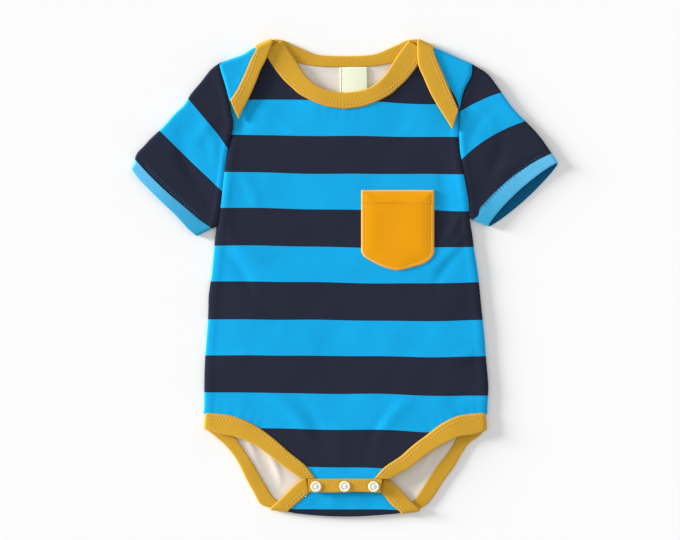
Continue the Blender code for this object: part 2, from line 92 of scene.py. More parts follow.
# The shoulder laps lie unevenly, so each side, 1 for the right, has its own lines
LAP_EDGE = {1: ((77, 187), (82.8, 173.5), (88.3, 160.5), (96, 143)),
            -1: ((79, 187), (84.5, 173.5), (90.8, 160.5), (97.2, 151))}
LAP_FREE = {1: ((62.5, 182), (67.3, 170), (72.5, 158), (79.3, 146), (91.5, 126.8)),
            -1: ((67.3, 186), (71.8, 177.3), (75.4, 168), (79.3, 159), (83.6, 150), (91.5, 135.5))}
LEG_CORNER = (119.4, -114.6)
LEG_FRONT_EDGE = ((116.2, -114.7), (106, -115.5), (93.5, -117.8), (77, -125),
                  (62, -135.5), (47.5, -148), (34, -159), (25.5, -170.6))
LEG_FRONT_FREE = ((116.2, -127.3), (104.5, -131.5), (93, -134), (78.7, -140),
                  (66, -148.6), (54.3, -157.5), (43.5, -165.5), (37, -170.6))
LEG_BACK_EDGE = ((116.2, -114.7), (105, -120.5), (94.5, -133.5), (86.2, -146.5),
                 (77.6, -160), (69.3, -174.5), (60.5, -186.8), (48.4, -196.5))
LEG_BACK_FREE = ((116.2, -127.3), (109, -133.5), (101, -141.5), (91.5, -155),
                 (83, -172.4), (76, -184), (70.3, -189.8), (62, -194.2))
CROTCH_FOLD_Y = -199.4
FLAP_END = (30.7, -182.3)
FLAP_FREE = ((62, -194.2), (55, -188), (46.7, -180.2), (38.5, -173), (31.4, -170.4))
SLEEVE_HEAD = ((106.8, 182.4), (113, 177), (120, 169.6), (132, 156.4), (155, 128))
POCKET_FOOT_RISE = 13   # from the pocket's point to its lower corners
POCKET_ROUNDNESS = 1.6
POCKET_FOOT_CUT = 2.6   # how far the pocket's lower corners are cut up

# Heights of the middle surfaces, as in the frame
SIDE_SEAM_Z = 2.1
FRONT_EDGE_Z = 3.6
CHEST_LOFT = 0.8
CHEST_LOFT_REACH = 40
SHOULDER_DROP = 1
DROP_FROM_Y, DROP_OVER_Y = 90, 50
DROP_FROM_X, DROP_OVER_X = 20, 35
CROTCH_RISE = 2.6
RISE_FROM_Y, RISE_OVER_Y = -120, 48
LAP_Z = 5.35
LAP_BINDING_Z = 6.2
BACK_BINDING_Z = 1.38
FLAP_Z = 3.6
PLACKET_MIDDLE_Z = 7
SLEEVE_TOP_Z = 4.2
ROLL_WIDTH = 2.6
FOLD_INSET = 2.9        # from the shoulder's outline to the middle of the cloth's fold
BINDING_INSET = 3.3     # the same for the rib binding

# Cloth and how it is sewn
FLOOR_GAP = 0.02
PLACKET_GAP = 0.15      # at each end, between a placket and the leg's binding
SEAM_OPENING = 0.3      # between the front's and the back's edges at the side seam
ARMHOLE_GAP = 0.3
LAP_PRESS = {1: 0.7, -1: 1.7}   # the front sinks this much beside each lap's free edge
LAP_PRESS_REACH = 12
LAP_TIP_DROP = {1: 0.3, -1: 1.4}    # how far each lap sinks towards its tip
LAP_DROP_FROM_Y, LAP_DROP_OVER_Y = 165, 24
LAP_SINK = 0.55         # a lap's cloth lies this much below the middle of its binding
ARMHOLE_DIP = 0.9       # the front sinks this much into the armhole seams
LAP_ARMHOLE_DIP = 1.3   # the same for the laps
SLEEVE_DIP = {1: 0.9, -1: 0.2}      # and for each sleeve
SLEEVE_RIDGE = {1: 0.25, -1: 0.5}   # swelling of a sleeve beside its seam
BACK_SEAM_LIFT = 0.5    # the cloth below rises this much to the armhole seams
TUCK = 1.2              # how far a panel's edge reaches into its binding
SEAM_RIDGE = 0.25       # swelling over the seam allowance, beside a seam
RIB_PUFF = 0.1          # swelling of a binding's layers between their edges
RIB_OVERLAP = 0.6       # how far a binding reaches over its sewn edge
BINDING_STITCHES = (1.0, 3.4)   # distances of the two rows from the sewn edge
SEAT_EASE = 0.47        # stripes that the back gains below its side seams
LAP_SKEW = 0.8          # how far down the stripes the laps' cloth runs
EDGE_BLEND = 7          # width over which a panel comes level with its binding
PUCKER_PITCH, PUCKER_REACH = 8.5, 5     # along a stretched seam, and away from it
HEM_DEPTH = 12.5
HEM_TURN = 0.45         # radius of the fold at the cuff
HEM_STITCHES = (10.6, 12.3)     # distances of the two rows from the cuff
HEM_GROOVE = 0.3        # the outside sinks this much along them
POCKET_WALL = 0.3
POCKET_GAP = 0.12       # between the front and the pocket
POCKET_PUFF = 0.5       # swelling of its middle
POCKET_EDGE_ROLL = 0.42     # rise of its face over its turned edge
POCKET_STITCH_INSET = 1.9
POCKET_GROOVE = 0.16    # its face sinks this much along its stitches
LABEL_WALL = 0.5
THREAD_RADIUS = 0.2
KNIT_COLUMN, KNIT_ROW = 0.78, 0.62      # size of a stitch of the jersey
RIB_COLUMN, RIB_ROW = 1.15, 0.7         # and of the rib
LABEL_LINE = (0.30, 0.31, 0.26, 1.0)    # colour beside the label's edges
# Share of a pair of stripes, blue then navy, over which blue turns to navy, and how far
# into the blue the navy runs out
TO_NAVY, NAVY_END = (0.4845, 0.4905), 0.003
SNAP_NUMBERS = (1, 2, 3)
CAP_SINK = 0.15
SNAP_DROP = 0.8         # the snaps sit this much below the middle of their bands
SNAP_PULL, SNAP_PULL_AT = 0.22, 4.6     # depth and radius of the dip round a snap

# Cells of the fine grids
LEG_CELLS = 72
FRONT_CROTCH_HALF = 18
BACK_CROTCH_HALF = 30
FRONT_NECK_CELLS = 64
BACK_NECK_CELLS = 72
SIDE_CELLS = 100
ARMHOLE_CELLS = 88
ROLL_CELLS = 6
ROLL_DROPPED = 2        # ordinary columns that each roll's columns take the place of
ARC_CELLS = 12
LAP_CELLS = 26
LAP_BINDING_CELLS = 48
LAP_ARMHOLE_CELLS = 160
FLAP_CELLS = 14
RIB_CELLS = 11
SPLINE_STEPS = 24
SLEEVE_ROWS = 57
SLEEVE_CELLS = 80       # of a sleeve's outlines
SLEEVE_FLAT_CELLS = 45  # across a layer between its rolls
HEM_CELLS = 8           # round the cuff's fold, and again inside it
POCKET_ACROSS, POCKET_UP = 64, 72
LABEL_ACROSS, LABEL_UP = 29, 33
PLACKET_POINTS = 160
SNAP_SIDES = 40

# Creases: start x, start y, end x, end y, sideways bend, half width, height
FRONT_CREASES = (
    (104, 40, 66, 8, 5, 5.5, 0.55), (103, 28, 74, -14, -4, 4.5, -0.6), (98, 60, 80, 26, 3, 4, 0.5),
    (97, 112, 101, 34, 4, 9, 0.8), (79, 112, 83, 20, 4, 6, -0.5), (-103, 42, -62, 14, -6, 6, 0.8),
    (-105, 26, -78, -22, 5, 5, -0.6), (-96, 112, -98, 26, -4, 8, 0.8), (-94, 96, -74, 58, 4, 5, 0.5),
    (-60, -40, -20, -62, 6, 9, 0.35), (14, -30, 70, -48, -7, 10, 0.4), (-70, -96, -28, -140, 6, 5.5, 0.6),
    (-52, -92, -16, -150, 7, 5, -0.45), (66, -98, 26, -142, -7, 6, 0.6),
    (44, -104, 15, -158, -5, 4.5, -0.4), (-8, -120, -6, -164, 3, 6, 0.3), (112, -60, 84, -70, 3, 5, 0.45),
    (-113, -72, -80, -62, -4, 6, 0.45), (110, -92, 82, -104, 4, 4.5, -0.4),
    (-30, 112, 34, 106, 5, 8, 0.3), (-58, 138, -26, 118, -4, 5, 0.35), (60, 134, 30, 116, 4, 5, 0.3),
)
BACK_CREASES = (
    (-104, 38, -58, 6, 5, 5, 0.7), (103, 36, 62, 12, -5, 5.5, 0.8), (-60, 70, 40, 84, 9, 8, 0.5),
    (-36, -20, 58, -34, -8, 9, 0.5), (-86, -122, -58, -182, -5, 3.6, 0.9),
    (-72, -138, -54, -178, 3, 3, 0.7), (88, -126, 62, -180, 4, 3.8, 0.9),
    (76, -140, 66, -172, -3, 2.8, 0.6), (-44, 176, -26, 158, 2, 3.5, 0.5),
    (46, 174, 30, 160, -2, 3.5, 0.4), (-20, -110, -14, -176, 4, 6, 0.5), (24, -118, 12, -184, -4, 5, 0.4),
)
BACK_SLEEVE_CREASES = (
    (112, 60, 138, 128, 6, 5, 0.6), (120, 70, 156, 104, -5, 5, 0.5),
)
LEFT_SLEEVE_CREASES = (
    (112, 58, 140, 132, -7, 6, -0.8), (118, 62, 160, 108, 5, 5, 0.5), (104, 140, 128, 110, 4, 5, 0.6),
    (108, 92, 130, 150, 5, 5, 0.5),
)
RIGHT_SLEEVE_CREASES = (
    (110, 64, 134, 128, -6, 6, -0.7), (116, 74, 158, 100, 6, 6, 0.7), (103, 150, 130, 124, 4, 5, 0.5),
    (106, 104, 126, 146, 6, 5, -0.4),
)
# Broad unevenness of laid cloth: wavelength, direction in degrees, height, phase
WAVES = ((83, 12, 0.10, 0.4), (57, 101, 0.08, 2.1), (39, 63, 0.05, 4),
         (31, 152, 0.04, 1.2))

# Where single stripes drop towards the garment's right: height up the body, reach up and
# down, start across, width over which they drop, and how far
STRIPE_DROPS = ((152, 20, 0, 80, 2.8), (59, 18, 60, 40, 1.4), (-97, 24, 20, 70, 1.6),
                (-70, 45, -70, -45, 1.4))
# How the laid garment departs from an even one: place, reach across and up, and shift
LAID_SHIFTS = (
    (128, 163, 18, 18, 1.7, 1.7), (163, 122, 26, 26, 2.7, 2.5), (121, 172, 10, 10, 1.6, 1.7),
    (-156, 68, 36, 36, -1.4, -1.4), (-183, 95, 7, 7, 2, 0.4), (-176, 106, 6, 6, -1.6, 1.6),
    (-169, 116, 15, 15, -1.9, 1.9), (-137, 148, 8, 8, 1.2, -1.2), (-130, 42, 14, 14, -1.6, -1.7),
    (97, -149, 18, 22, 2.5, -0.5), (55, -200, 16, 12, 0.3, -1.3), (-76, 201, 10, 10, -0.5, 0.7),
    (-113, 178, 10, 12, -1.1, 1), (-121, -124, 9, 9, -0.9, -0.5), (122, -124, 10, 10, 1.4, -0.5),
    (70, -134, 20, 16, 2, -2.2), (50, -154, 18, 14, 1.8, -2), (-118, -52, 14, 24, 0.9, 0),
    (-115, -14, 14, 12, -1, 0), (121, -94, 14, 20, 2.2, 0), (110, 27, 12, 16, -1.5, 0),
    (-110, -132, 16, 16, -1.2, -0.8), (113, -133, 9, 9, 1.8, -2.2), (92, -160, 10, 10, 1.2, -1.2),
    (66, -194, 8, 8, 1.2, -0.8), (-69, -192, 8, 8, -2.2, -1.6), (0, -202, 60, 8, 0, -1.2),
    (-87, 192, 9, 9, 0.2, -1.3), (107, 172, 9, 10, 3.6, -0.5), (42, -194, 9, 8, -2.4, 0),
    (69, 13, 9, 8, 0.8, -1.8), (109, 50, 8, 12, -1.8, 0), (-99, 100, 9, 22, -2.2, 0),
    (-96, 130, 8, 9, 2.4, 0), (0, -176.5, 70, 10, 0, 1.3),
)

# Sleeves: side, cuff tip, cuff corner, height of the underarm, how far the cuff's upper and
# lower layers bow out, how much painted light its hem's face gets at the tip and at the corner
# (the rest of the face gets painted shade), creases, and three stripe edges from the cuff to
# the shoulder. Each edge is two points, a bow, and how far its underarm end hooks to the cuff.
SLEEVES = {
    "sleeve_left": (-1, (183.4, 94), (124, 38), 45, (0, 0), (1, 0.5), LEFT_SLEEVE_CREASES,
                    (((175.3, 99.2), (117, 47.6), -0.9, 0), ((156.4, 124.5), (104.6, 74.8), 0, 0),
                     ((131.5, 151.9), (101.4, 116), 0, 0))),
    "sleeve_right": (1, (180.6, 98), (121.8, 44.5), 50.5, (-5.2, 4.2), (1, 0.6), RIGHT_SLEEVE_CREASES,
                     (((168.6, 103.2), (119.9, 66.7), 3, 9.5), ((154.5, 132.7), (105.6, 107.2), 3.4, 0),
                      ((130, 156.8), (98.5, 143.3), 1.2, 0))),
}


# ---------------------------------------------------------------- shapes in plan

def box_mm(node):
    """A frame node's lowest and highest corners, in millimetres."""
    return [np.array(corner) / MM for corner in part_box(node)]


def mirrored(points):
    """The same points on the other half of the garment: x becomes -x."""
    points = np.asarray(points, float)
    return points * np.array((-1.0, 1.0, 1.0)[:points.shape[-1]])


def unit(vectors):
    """Each vector at a length of 1."""
    vectors = np.asarray(vectors, float)
    return vectors / np.maximum(np.linalg.norm(vectors, axis=-1, keepdims=True), 1e-12)


def shares(cells):
    """Even steps from 0 to 1."""
    return np.linspace(0.0, 1.0, cells + 1)


def smooth_step(t):
    """0 below 0, 1 above 1 and 3t^2 - 2t^3 between."""
    t = np.clip(t, 0.0, 1.0)
    return t * t * (3.0 - 2.0 * t)


def hump(offset, width):
    """1 at no offset, fading to both sides as exp(-(offset / width)^2)."""
    return np.exp(-(offset / width) ** 2)


def line_lengths(line):
    """Length from a line's start to each of its points."""
    steps = np.linalg.norm(np.diff(line, axis=0), axis=1)
    return np.concatenate(([0.0], np.cumsum(steps)))


def at_share(line, share):
    """Points of a line at the given shares of its length."""
    length = line_lengths(line)
    wanted = np.asarray(share) * length[-1]
    return np.stack([np.interp(wanted, length, line[:, axis]) for axis in range(line.shape[1])], -1)


def curve(points, cells):
    """Smooth line through points, cut into cells of equal length.

    Between two points it is the Catmull-Rom cubic, whose slope at a point is half the
    step from the point before to the point after.
    """
    given = np.asarray(points, float)
    padded = np.vstack((2 * given[0] - given[1], given, 2 * given[-1] - given[-2]))
    t = np.linspace(0.0, 1.0, SPLINE_STEPS, endpoint=False)[:, None, None]
    before, start, end, after = padded[:-3], padded[1:-2], padded[2:-1], padded[3:]
    spans = 0.5 * (2 * start + (end - before) * t
                   + (2 * before - 5 * start + 4 * end - after) * t ** 2
                   + (3 * start - before - 3 * end + after) * t ** 3)
    fine = np.vstack((spans.transpose(1, 0, 2).reshape(-1, given.shape[1]), given[-1:]))
    return at_share(fine, shares(cells))


def nearest(xy, line):
    """Distance from points to a line, and how far along the line the nearest place is."""
    start, run = line[:-1], np.diff(line, axis=0)
    offset = xy[..., None, :] - start
    share = np.clip((offset * run).sum(-1) / (run ** 2).sum(-1), 0.0, 1.0)
    gap = np.linalg.norm(offset - share[..., None] * run, axis=-1)
    best = gap.argmin(-1)[..., None]
    along = line_lengths(line)[:-1] + share * np.linalg.norm(run, axis=1)
    return np.take_along_axis(gap, best, -1)[..., 0], np.take_along_axis(along, best, -1)[..., 0]


def near(xy, points, cells=24):
    """Distance to a smooth line through points, and how far along it the nearest place is."""
    return nearest(xy, curve(points, cells))


def half_plan(xy):
    """(x, y) points turned onto the right half."""
    return np.stack((np.abs(xy[..., 0]), xy[..., 1]), -1)


def beside(xy, start, end, bend, past=0.0):
    """Share of the way along a chord, and the distance beside a parabola that leaves the
    chord by bend at its middle. The parabola runs past both ends by a share of the chord."""
    chord = np.subtract(end, start)
    length = math.hypot(*chord)
    run = chord / length
    offset = xy - np.asarray(start, float)
    share = np.clip(offset @ run / length, -past, 1.0 + past)
    return share, offset @ (-run[1], run[0]) - 4.0 * bend * share * (1.0 - share)


def patch(bottom, top, side):
    """Grid of points between a bottom line, a top line and two mirrored sides.

    A column is straight from bottom to top, and is then moved over by the share that its
    place in the row gives it of each side's own curve.
    """
    v = ((side[:, 1] - side[0, 1]) / (side[-1, 1] - side[0, 1]))[:, None, None]
    u = shares(len(bottom) - 1)[None, :, None]
    grid = (1.0 - v) * bottom[None] + v * top[None]
    bulge = side[:, None] - (side[0] + v * (side[-1] - side[0]))
    return grid + (1.0 - u) * bulge * (-1.0, 1.0) + u * bulge


def with_roll_columns(grid):
    """Put close columns beside the first and last ones, where the cloth rolls to a seam.
    They take the place of the next ROLL_DROPPED columns, which stand inside the roll."""
    steps = 1.0 - np.cos(shares(ROLL_CELLS)[1:] * math.pi / 2)
    reach = (ROLL_WIDTH * steps)[None, :, None]
    inner = grid[:, 1 + ROLL_DROPPED:-1 - ROLL_DROPPED]
    left = grid[:, :1] + unit(inner[:, 0] - grid[:, 0])[:, None] * reach
    right = (grid[:, -1:] + unit(inner[:, -1] - grid[:, -1])[:, None] * reach)[:, ::-1]
    return np.concatenate((grid[:, :1], left, inner, right, grid[:, -1:]), 1)


def raised(xy, z):
    """(x, y) points and heights as (x, y, z) points."""
    return np.concatenate((xy, np.broadcast_to(np.asarray(z, float), xy.shape[:-1])[..., None]), -1)


def half_turn(low, high):
    """Half a circle from a low height to a high one: its angle, how far it swells out and
    its height, row by row."""
    angle = np.linspace(-math.pi / 2, math.pi / 2, ARC_CELLS + 1)[:, None]
    radius = (high - low) / 2
    return angle, radius * np.cos(angle), (high + low) / 2 + radius * np.sin(angle)


def folded_over(base, outward, low, xy, high):
    """Grid of cloth that turns over a fold: its base line at its low heights, half a
    circle that swells along outward, and the rows of points past the fold."""
    _, swell, height = half_turn(low, high[0])
    over = raised(base + swell[1:-1, :, None] * outward, height[1:-1])
    return np.concatenate((raised(base, low)[None], over, raised(xy, high)))


def both(edge, free, cells):
    """The sewn edge and the free edge of a binding, as smooth lines."""
    return curve(edge, cells), curve(free, cells)


def tucked(edge, free):
    """A panel's edge, moved into its binding towards the binding's free line."""
    return edge + TUCK * unit(free - edge)


def shoulder_line():
    """The shoulder fold's middle line: its outer end, its neck end, the free end of the
    neck's binding beyond that, and outward."""
    run = unit(np.subtract(SHOULDER_OUTER, SHOULDER_NECK))
    outward = np.array((-run[1], run[0]))
    neck_end = SHOULDER_NECK - BINDING_INSET * outward
    return SHOULDER_OUTER - FOLD_INSET * outward, neck_end, neck_end - run * NECK_BINDING_AT_FOLD, outward


def back_neck_lines():
    """Both edges of the back's neck binding, from the shoulder to the back's middle."""
    _, neck_end, neck_free, _ = shoulder_line()
    return both((neck_end, *BACK_NECK_EDGE), (neck_free, *BACK_NECK_FREE), BACK_NECK_CELLS)


def lap_lines(side, cells):
    """Both edges of a lap's binding, from the shoulder to the armhole."""
    _, neck_end, neck_free, _ = shoulder_line()
    return both((neck_end, *LAP_EDGE[side]), (neck_free, *LAP_FREE[side]), cells)


# ---------------------------------------------------------------- heights

def roll(distance):
    """1 at an edge, falling to 0 over the roll's width as a quarter of an ellipse."""
    inside = 1.0 - np.clip(distance / ROLL_WIDTH, 0.0, 1.0)
    return 1.0 - np.sqrt(1.0 - inside ** 2)


def creases(xy, rows):
    """Soft ridges and troughs. Each follows a parabola over its chord. Its height falls
    off square to that line as exp(-(distance / half width)^2), and to its ends as a sine."""
    total = np.zeros(xy.shape[:-1])
    for x0, y0, x1, y1, bend, width, height in rows:
        share, sideways = beside(xy, (x0, y0), (x1, y1), bend)
        total += height * hump(sideways, width) * np.sin(math.pi * share) ** 0.8
    return total


def waves(xy):
    """Broad uneven rise and fall: a sum of plane sine waves in different directions."""
    total = np.zeros(xy.shape[:-1])
    for length, degrees, height, phase in WAVES:
        heading = math.radians(degrees)
        travel = xy @ (math.cos(heading), math.sin(heading))
        total += height * np.sin(2 * math.pi * travel / length + phase)
    return total


def puckers(distance, along, height):
    """Small gathers square to a stretched seam, fading away from it. Their spacing drifts."""
    drift = 0.35 * np.sin(along / 17.0) + 0.2 * np.sin(along / 6.1)
    fade = np.exp(-distance / PUCKER_REACH) * smooth_step(distance / 2.5)
    return height * np.sin(2 * math.pi * (along / PUCKER_PITCH + drift)) * fade


def front_sheet_z(xy):
    """Height of the front away from its side seams, as in the frame: a lofted chest that
    drops under the shoulder laps and climbs over the crotch flap."""
    plan = half_plan(xy)
    x, y = plan[..., 0], plan[..., 1]
    distance, _ = near(plan, SIDE_SEAM, 12)
    loft = CHEST_LOFT * smooth_step(distance / CHEST_LOFT_REACH)
    drop = smooth_step((y - DROP_FROM_Y) / DROP_OVER_Y) * smooth_step((x - DROP_FROM_X) / DROP_OVER_X)
    rise = CROTCH_RISE * smooth_step((RISE_FROM_Y - y) / RISE_OVER_Y)
    return FRONT_EDGE_Z + loft - SHOULDER_DROP * drop + rise


def front_z(xy):
    """Height of the front: its sheet with creases, puckered along the leg bindings, sunk
    into the armhole seams and rolled down to the side seams."""
    plan = half_plan(xy)
    side, _ = near(plan, SIDE_SEAM)
    arm, arm_along = near(plan, ARMHOLE)
    leg, leg_along = near(plan, LEG_FRONT_EDGE)
    neck, neck_along = near(plan, FRONT_NECK_EDGE)
    under_laps = smooth_step((plan[..., 1] - 125.0) / 25.0) * smooth_step((plan[..., 0] - 45.0) / 20.0)
    calm = smooth_step(np.minimum(leg, neck) / 10.0) * (1.0 - under_laps)
    z = front_sheet_z(xy) + (creases(xy, FRONT_CREASES) + waves(xy)) * calm
    for half, line in LAP_FREE.items():
        pressed = hump(near(plan, line, 12)[0], LAP_PRESS_REACH) * (np.sign(xy[..., 0]) == half)
        z -= LAP_PRESS[half] * pressed * smooth_step(neck / 9.0)
    z += puckers(leg, leg_along, 0.16) + puckers(neck, neck_along, 0.10) + puckers(arm, arm_along, 0.12)
    z += SEAM_RIDGE * (hump(side - 5.0, 2.4) + hump(arm - 4.5, 2.2)) - ARMHOLE_DIP * roll(arm)
    return z + (SIDE_SEAM_Z + SEAM_OPENING / 2 - z) * roll(side)


def back_floor_z(jersey):
    """Height of the back's middle surface where it lies on the floor."""
    return jersey / 2 + FLOOR_GAP


def back_z(xy, jersey):
    """Height of the back: on the floor but for its creases, level with its bindings along
    its bound edges, lifted at the armhole seams and rolled up to the side seams."""
    plan = half_plan(xy)
    side, _ = near(plan, SIDE_SEAM)
    arm, _ = near(plan, ARMHOLE)
    leg, leg_along = near(plan, LEG_BACK_EDGE)
    neck, _ = near(plan, (shoulder_line()[1], *BACK_NECK_EDGE))
    bound = np.minimum(leg, neck)
    floor = back_floor_z(jersey)
    wrinkles = creases(xy, BACK_CREASES) + 0.6 * (waves(xy) + 0.15)
    raises = np.maximum(wrinkles, 0.0) + np.maximum(puckers(leg, leg_along, 0.2), 0.0)
    z = floor + raises * smooth_step(bound / 9.0) + BACK_SEAM_LIFT * roll(arm)
    z += (BACK_BINDING_Z - floor) * smooth_step(1.0 - bound / EDGE_BLEND)
    return z + (SIDE_SEAM_Z - SEAM_OPENING / 2 - z) * roll(side)


def lap_drop(xy, side):
    """How far a lap sinks to its tip, which is sewn into the armhole."""
    return LAP_TIP_DROP[side] * smooth_step((LAP_DROP_FROM_Y - xy[..., 1]) / LAP_DROP_OVER_Y)


def lap_z(xy, side):
    """Height of a shoulder lap: level with its binding beside it, sunk at the armhole."""
    plan = half_plan(xy)
    arm, arm_along = near(plan, ARMHOLE)
    edge, _ = near(plan, (shoulder_line()[1], *LAP_EDGE[side]))
    level = (LAP_BINDING_Z - LAP_SINK - LAP_Z) * smooth_step(1.0 - edge / EDGE_BLEND)
    sunk = LAP_ARMHOLE_DIP * roll(arm) + lap_drop(xy, side)
    return LAP_Z + level + puckers(arm, arm_along, 0.12) - sunk


# ---------------------------------------------------------------- meshes

def grid_faces(rows, columns, closed=False, flip=False):
    """Quads of a grid of points numbered row by row. closed joins the last column to the
    first, and flip turns the faces over."""
    index = np.arange(rows * columns).reshape(rows, columns)
    if closed:
        index = np.concatenate((index, index[:, :1]), 1)
    quads = np.stack((index[:-1, :-1], index[:-1, 1:], index[1:, 1:], index[1:, :-1]), -1).reshape(-1, 4)
    return quads[:, ::-1] if flip else quads


def as_laid(points):
    """Points moved from the even garment to the laid one: each shift fades around its
    place as exp(-(distance / reach)^2)."""
    moved = np.array(points, float)
    for x, y, reach_x, reach_y, *shift in LAID_SHIFTS:
        fade = hump(points[:, 0] - x, reach_x) * hump(points[:, 1] - y, reach_y)
        moved[:, :2] += fade[:, None] * shift
    return moved


def add_mesh(name, points, quads, pattern, slots):
    """One piece from points in millimetres. pattern is each point's place on the flat
    cloth: mm across, stripes down, and a mask from -1 to 1."""
    mesh = bpy.data.meshes.new(name)
    mesh.from_pydata(as_laid(points) * MM, [], quads)
    cloth = mesh.attributes.new("cloth", 'FLOAT_VECTOR', 'POINT')
    cloth.data.foreach_set("vector", np.ascontiguousarray(pattern, float).ravel())
    for slot in slots:
        mesh.materials.append(material(slot))
    shape = bmesh.new()
    shape.from_mesh(mesh)
    bmesh.ops.remove_doubles(shape, verts=shape.verts, dist=0.01 * MM)
    shape.to_mesh(mesh)
    shape.free()
    mesh.shade_smooth()
    piece = bpy.data.objects.new(name, mesh)
    bpy.context.scene.collection.objects.link(piece)
    return piece


def join_grids(name, grids, slots):
    """One piece from grids, each (points, pattern, closed, flip), that share their edges."""
    points, patterns, quads, start = [], [], [], 0
    for grid, pattern, closed, flip in grids:
        rows, columns = grid.shape[:2]
        quads.append(grid_faces(rows, columns, closed, flip) + start)
        points.append(grid.reshape(-1, 3))
        patterns.append(np.broadcast_to(pattern, grid.shape).reshape(-1, 3))
        start += rows * columns
    return add_mesh(name, np.concatenate(points), np.concatenate(quads), np.concatenate(patterns), slots)


def finish_piece(piece, slot, *nodes):
    """Fix a piece to the garment and hide the frame nodes that it
    is the finished form of. The slot is not used."""
    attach(piece, "root")
    if nodes:
        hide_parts(*nodes)


def cloth_piece(name, slot, grids, wall, node):
    """The finished form of a frame node in cloth: a middle surface, thickened equally to
    both sides. The striped jersey shows its pale wrong side on the inside."""
    slots = [slot, "jersey_inside"] if slot == "jersey_striped" else [slot]
    piece = join_grids(name, grids, slots)
    solid = piece.modifiers.new("Cloth thickness", 'SOLIDIFY')
    solid.thickness = wall * MM
    solid.offset = 0.0
    solid.use_even_offset = False
    solid.material_offset = len(slots) - 1
    solid.use_rim = True
    finish_piece(piece, slot, node)
    return piece


def stitch_shape(length):
    """One stitch: thread bowed up like a flat arch, seven rings of six points, whose
    ends go down into the cloth."""
    t = np.linspace(-1.0, 1.0, 7)[:, None]
    angle = np.linspace(0.0, 2 * math.pi, 6, endpoint=False)[None]
    size = THREAD_RADIUS * np.sqrt(1.0 - 0.8 * t ** 2)
    x = np.broadcast_to(length / 2 * t, (7, 6))
    y = size * np.cos(angle) * 1.15
    z = size * np.sin(angle) * 0.8 + THREAD_RADIUS * (0.5 - 1.3 * t ** 4)
    ends = np.array(((0, 1, 2, 3), (0, 3, 4, 5), (39, 38, 37, 36), (41, 40, 39, 36)))
    return np.stack((x, y, z), -1).reshape(-1, 3), np.concatenate((grid_faces(7, 6, closed=True), ends))


def stitch_row(line, ups=(0.0, 0.0, 1.0), pitch=2.9):
    """Places for a row of stitches along a line: (centres, along, up)."""
    count = max(int(line_lengths(line)[-1] / pitch), 1)
    share = (np.arange(count) + 0.5) / count
    step = 0.35 / count
    along = at_share(line, np.minimum(share + step, 1.0)) - at_share(line, np.maximum(share - step, 0.0))
    ups = np.broadcast_to(ups, line.shape)
    up = np.stack([np.interp(share, shares(len(ups) - 1), ups[:, axis]) for axis in range(3)], -1)
    return at_share(line, share), along, up


def add_stitches(name, rows, slot, length=2.3):
    """All the stitches of one seam as one piece. Each stitch's x runs along the seam, its
    z runs up from the cloth, and its y is square to both."""
    shape, quads = stitch_shape(length)
    centres, along, up = (np.concatenate(part) for part in zip(*rows))
    along, up = unit(along), unit(up)
    up = unit(up - (up * along).sum(-1, keepdims=True) * along)
    turn = np.stack((along, np.cross(up, along), up), -1)
    points = (centres[:, None] + np.einsum('nij,kj->nki', turn, shape)).reshape(-1, 3)
    quads = (quads[None] + len(shape) * np.arange(len(centres))[:, None, None]).reshape(-1, 4)
    finish_piece(add_mesh(name, points, quads, np.zeros_like(points), [slot]), slot)


# ---------------------------------------------------------------- stripes

def cloth_place(across, stripes, mask=0.0):
    """A point's place on the flat cloth, as (mm across, stripes down, mask)."""
    return np.stack(np.broadcast_arrays(across, stripes, mask), -1)


def body_stripes(xy, settings):
    """Stripes down the body from the chest's first edge. They sag a little towards the
    garment's right, most across the chest."""
    x, y = xy[..., 0], xy[..., 1]
    sag = 1.6 * smooth_step((x + 110.0) / 220.0) + 1.0 * (1.0 - (x / 115.0) ** 2) - 0.9
    for middle, reach, start, over, drop in STRIPE_DROPS:
        sag = sag + drop * hump(y - middle, reach) * smooth_step((x - start) / over)
    ripple = 0.25 * np.sin(x / 23.0 + y / 31.0) + 0.15 * np.sin(x / 11.0 - y / 47.0)
    return (settings.first - (y + sag + ripple)) / settings.pitch


def back_stripes(xy, settings):
    """Stripes down the back: level with the front's at the side seams, and closer below
    them, where the seat is cut fuller than it lies."""
    fuller = SEAT_EASE * smooth_step((LEG_CORNER[1] + 20.0 - xy[..., 1]) / 90.0)
    return body_stripes(xy, settings) + fuller


def stripes_over(base, around, beyond):
    """Stripes of cloth that turns over a fold: the base's own, an even change over the
    turned rows, and then the given ones."""
    share = shares(around + 1)[:-1, None]
    return np.concatenate(((1.0 - share) * base + share * beyond[0], beyond))


def line_offset(xy, line):
    """Signed distance from points to a stripe edge, positive on the shoulder's side. The
    edge is a parabola whose underarm end may hook towards the cuff."""
    start, end, bow, hook = line
    share, sideways = beside(xy, start, end, -bow, past=0.2)
    return hook * smooth_step((share - 1.11) / 0.2) - sideways


def sleeve_stripes(xy, lines, pitch):
    """Stripes up the sleeve from its hem: even between two edges, by the share of the
    way from one to the other, and at the plain pitch past the first and the last. The
    head is eased into its seam, so the last stripe runs on to it."""
    hem, second, third = (line_offset(xy, line) for line in lines)
    between = lambda low, high: low / np.maximum(low - high, 1e-6)
    return np.where(third > 0.0, 2.0 + np.minimum(third / pitch, 0.95),
                    np.where(second > 0.0, 1.0 + between(second, third),
                             np.where(hem > 0.0, between(hem, second), hem / pitch)))


# ---------------------------------------------------------------- panels

def leg_curve(edge, free):
    """A panel's leg curve on the right half, from the side seam, tucked into its binding."""
    return np.vstack((LEG_CORNER, tucked(*both(edge, free, LEG_CELLS))))


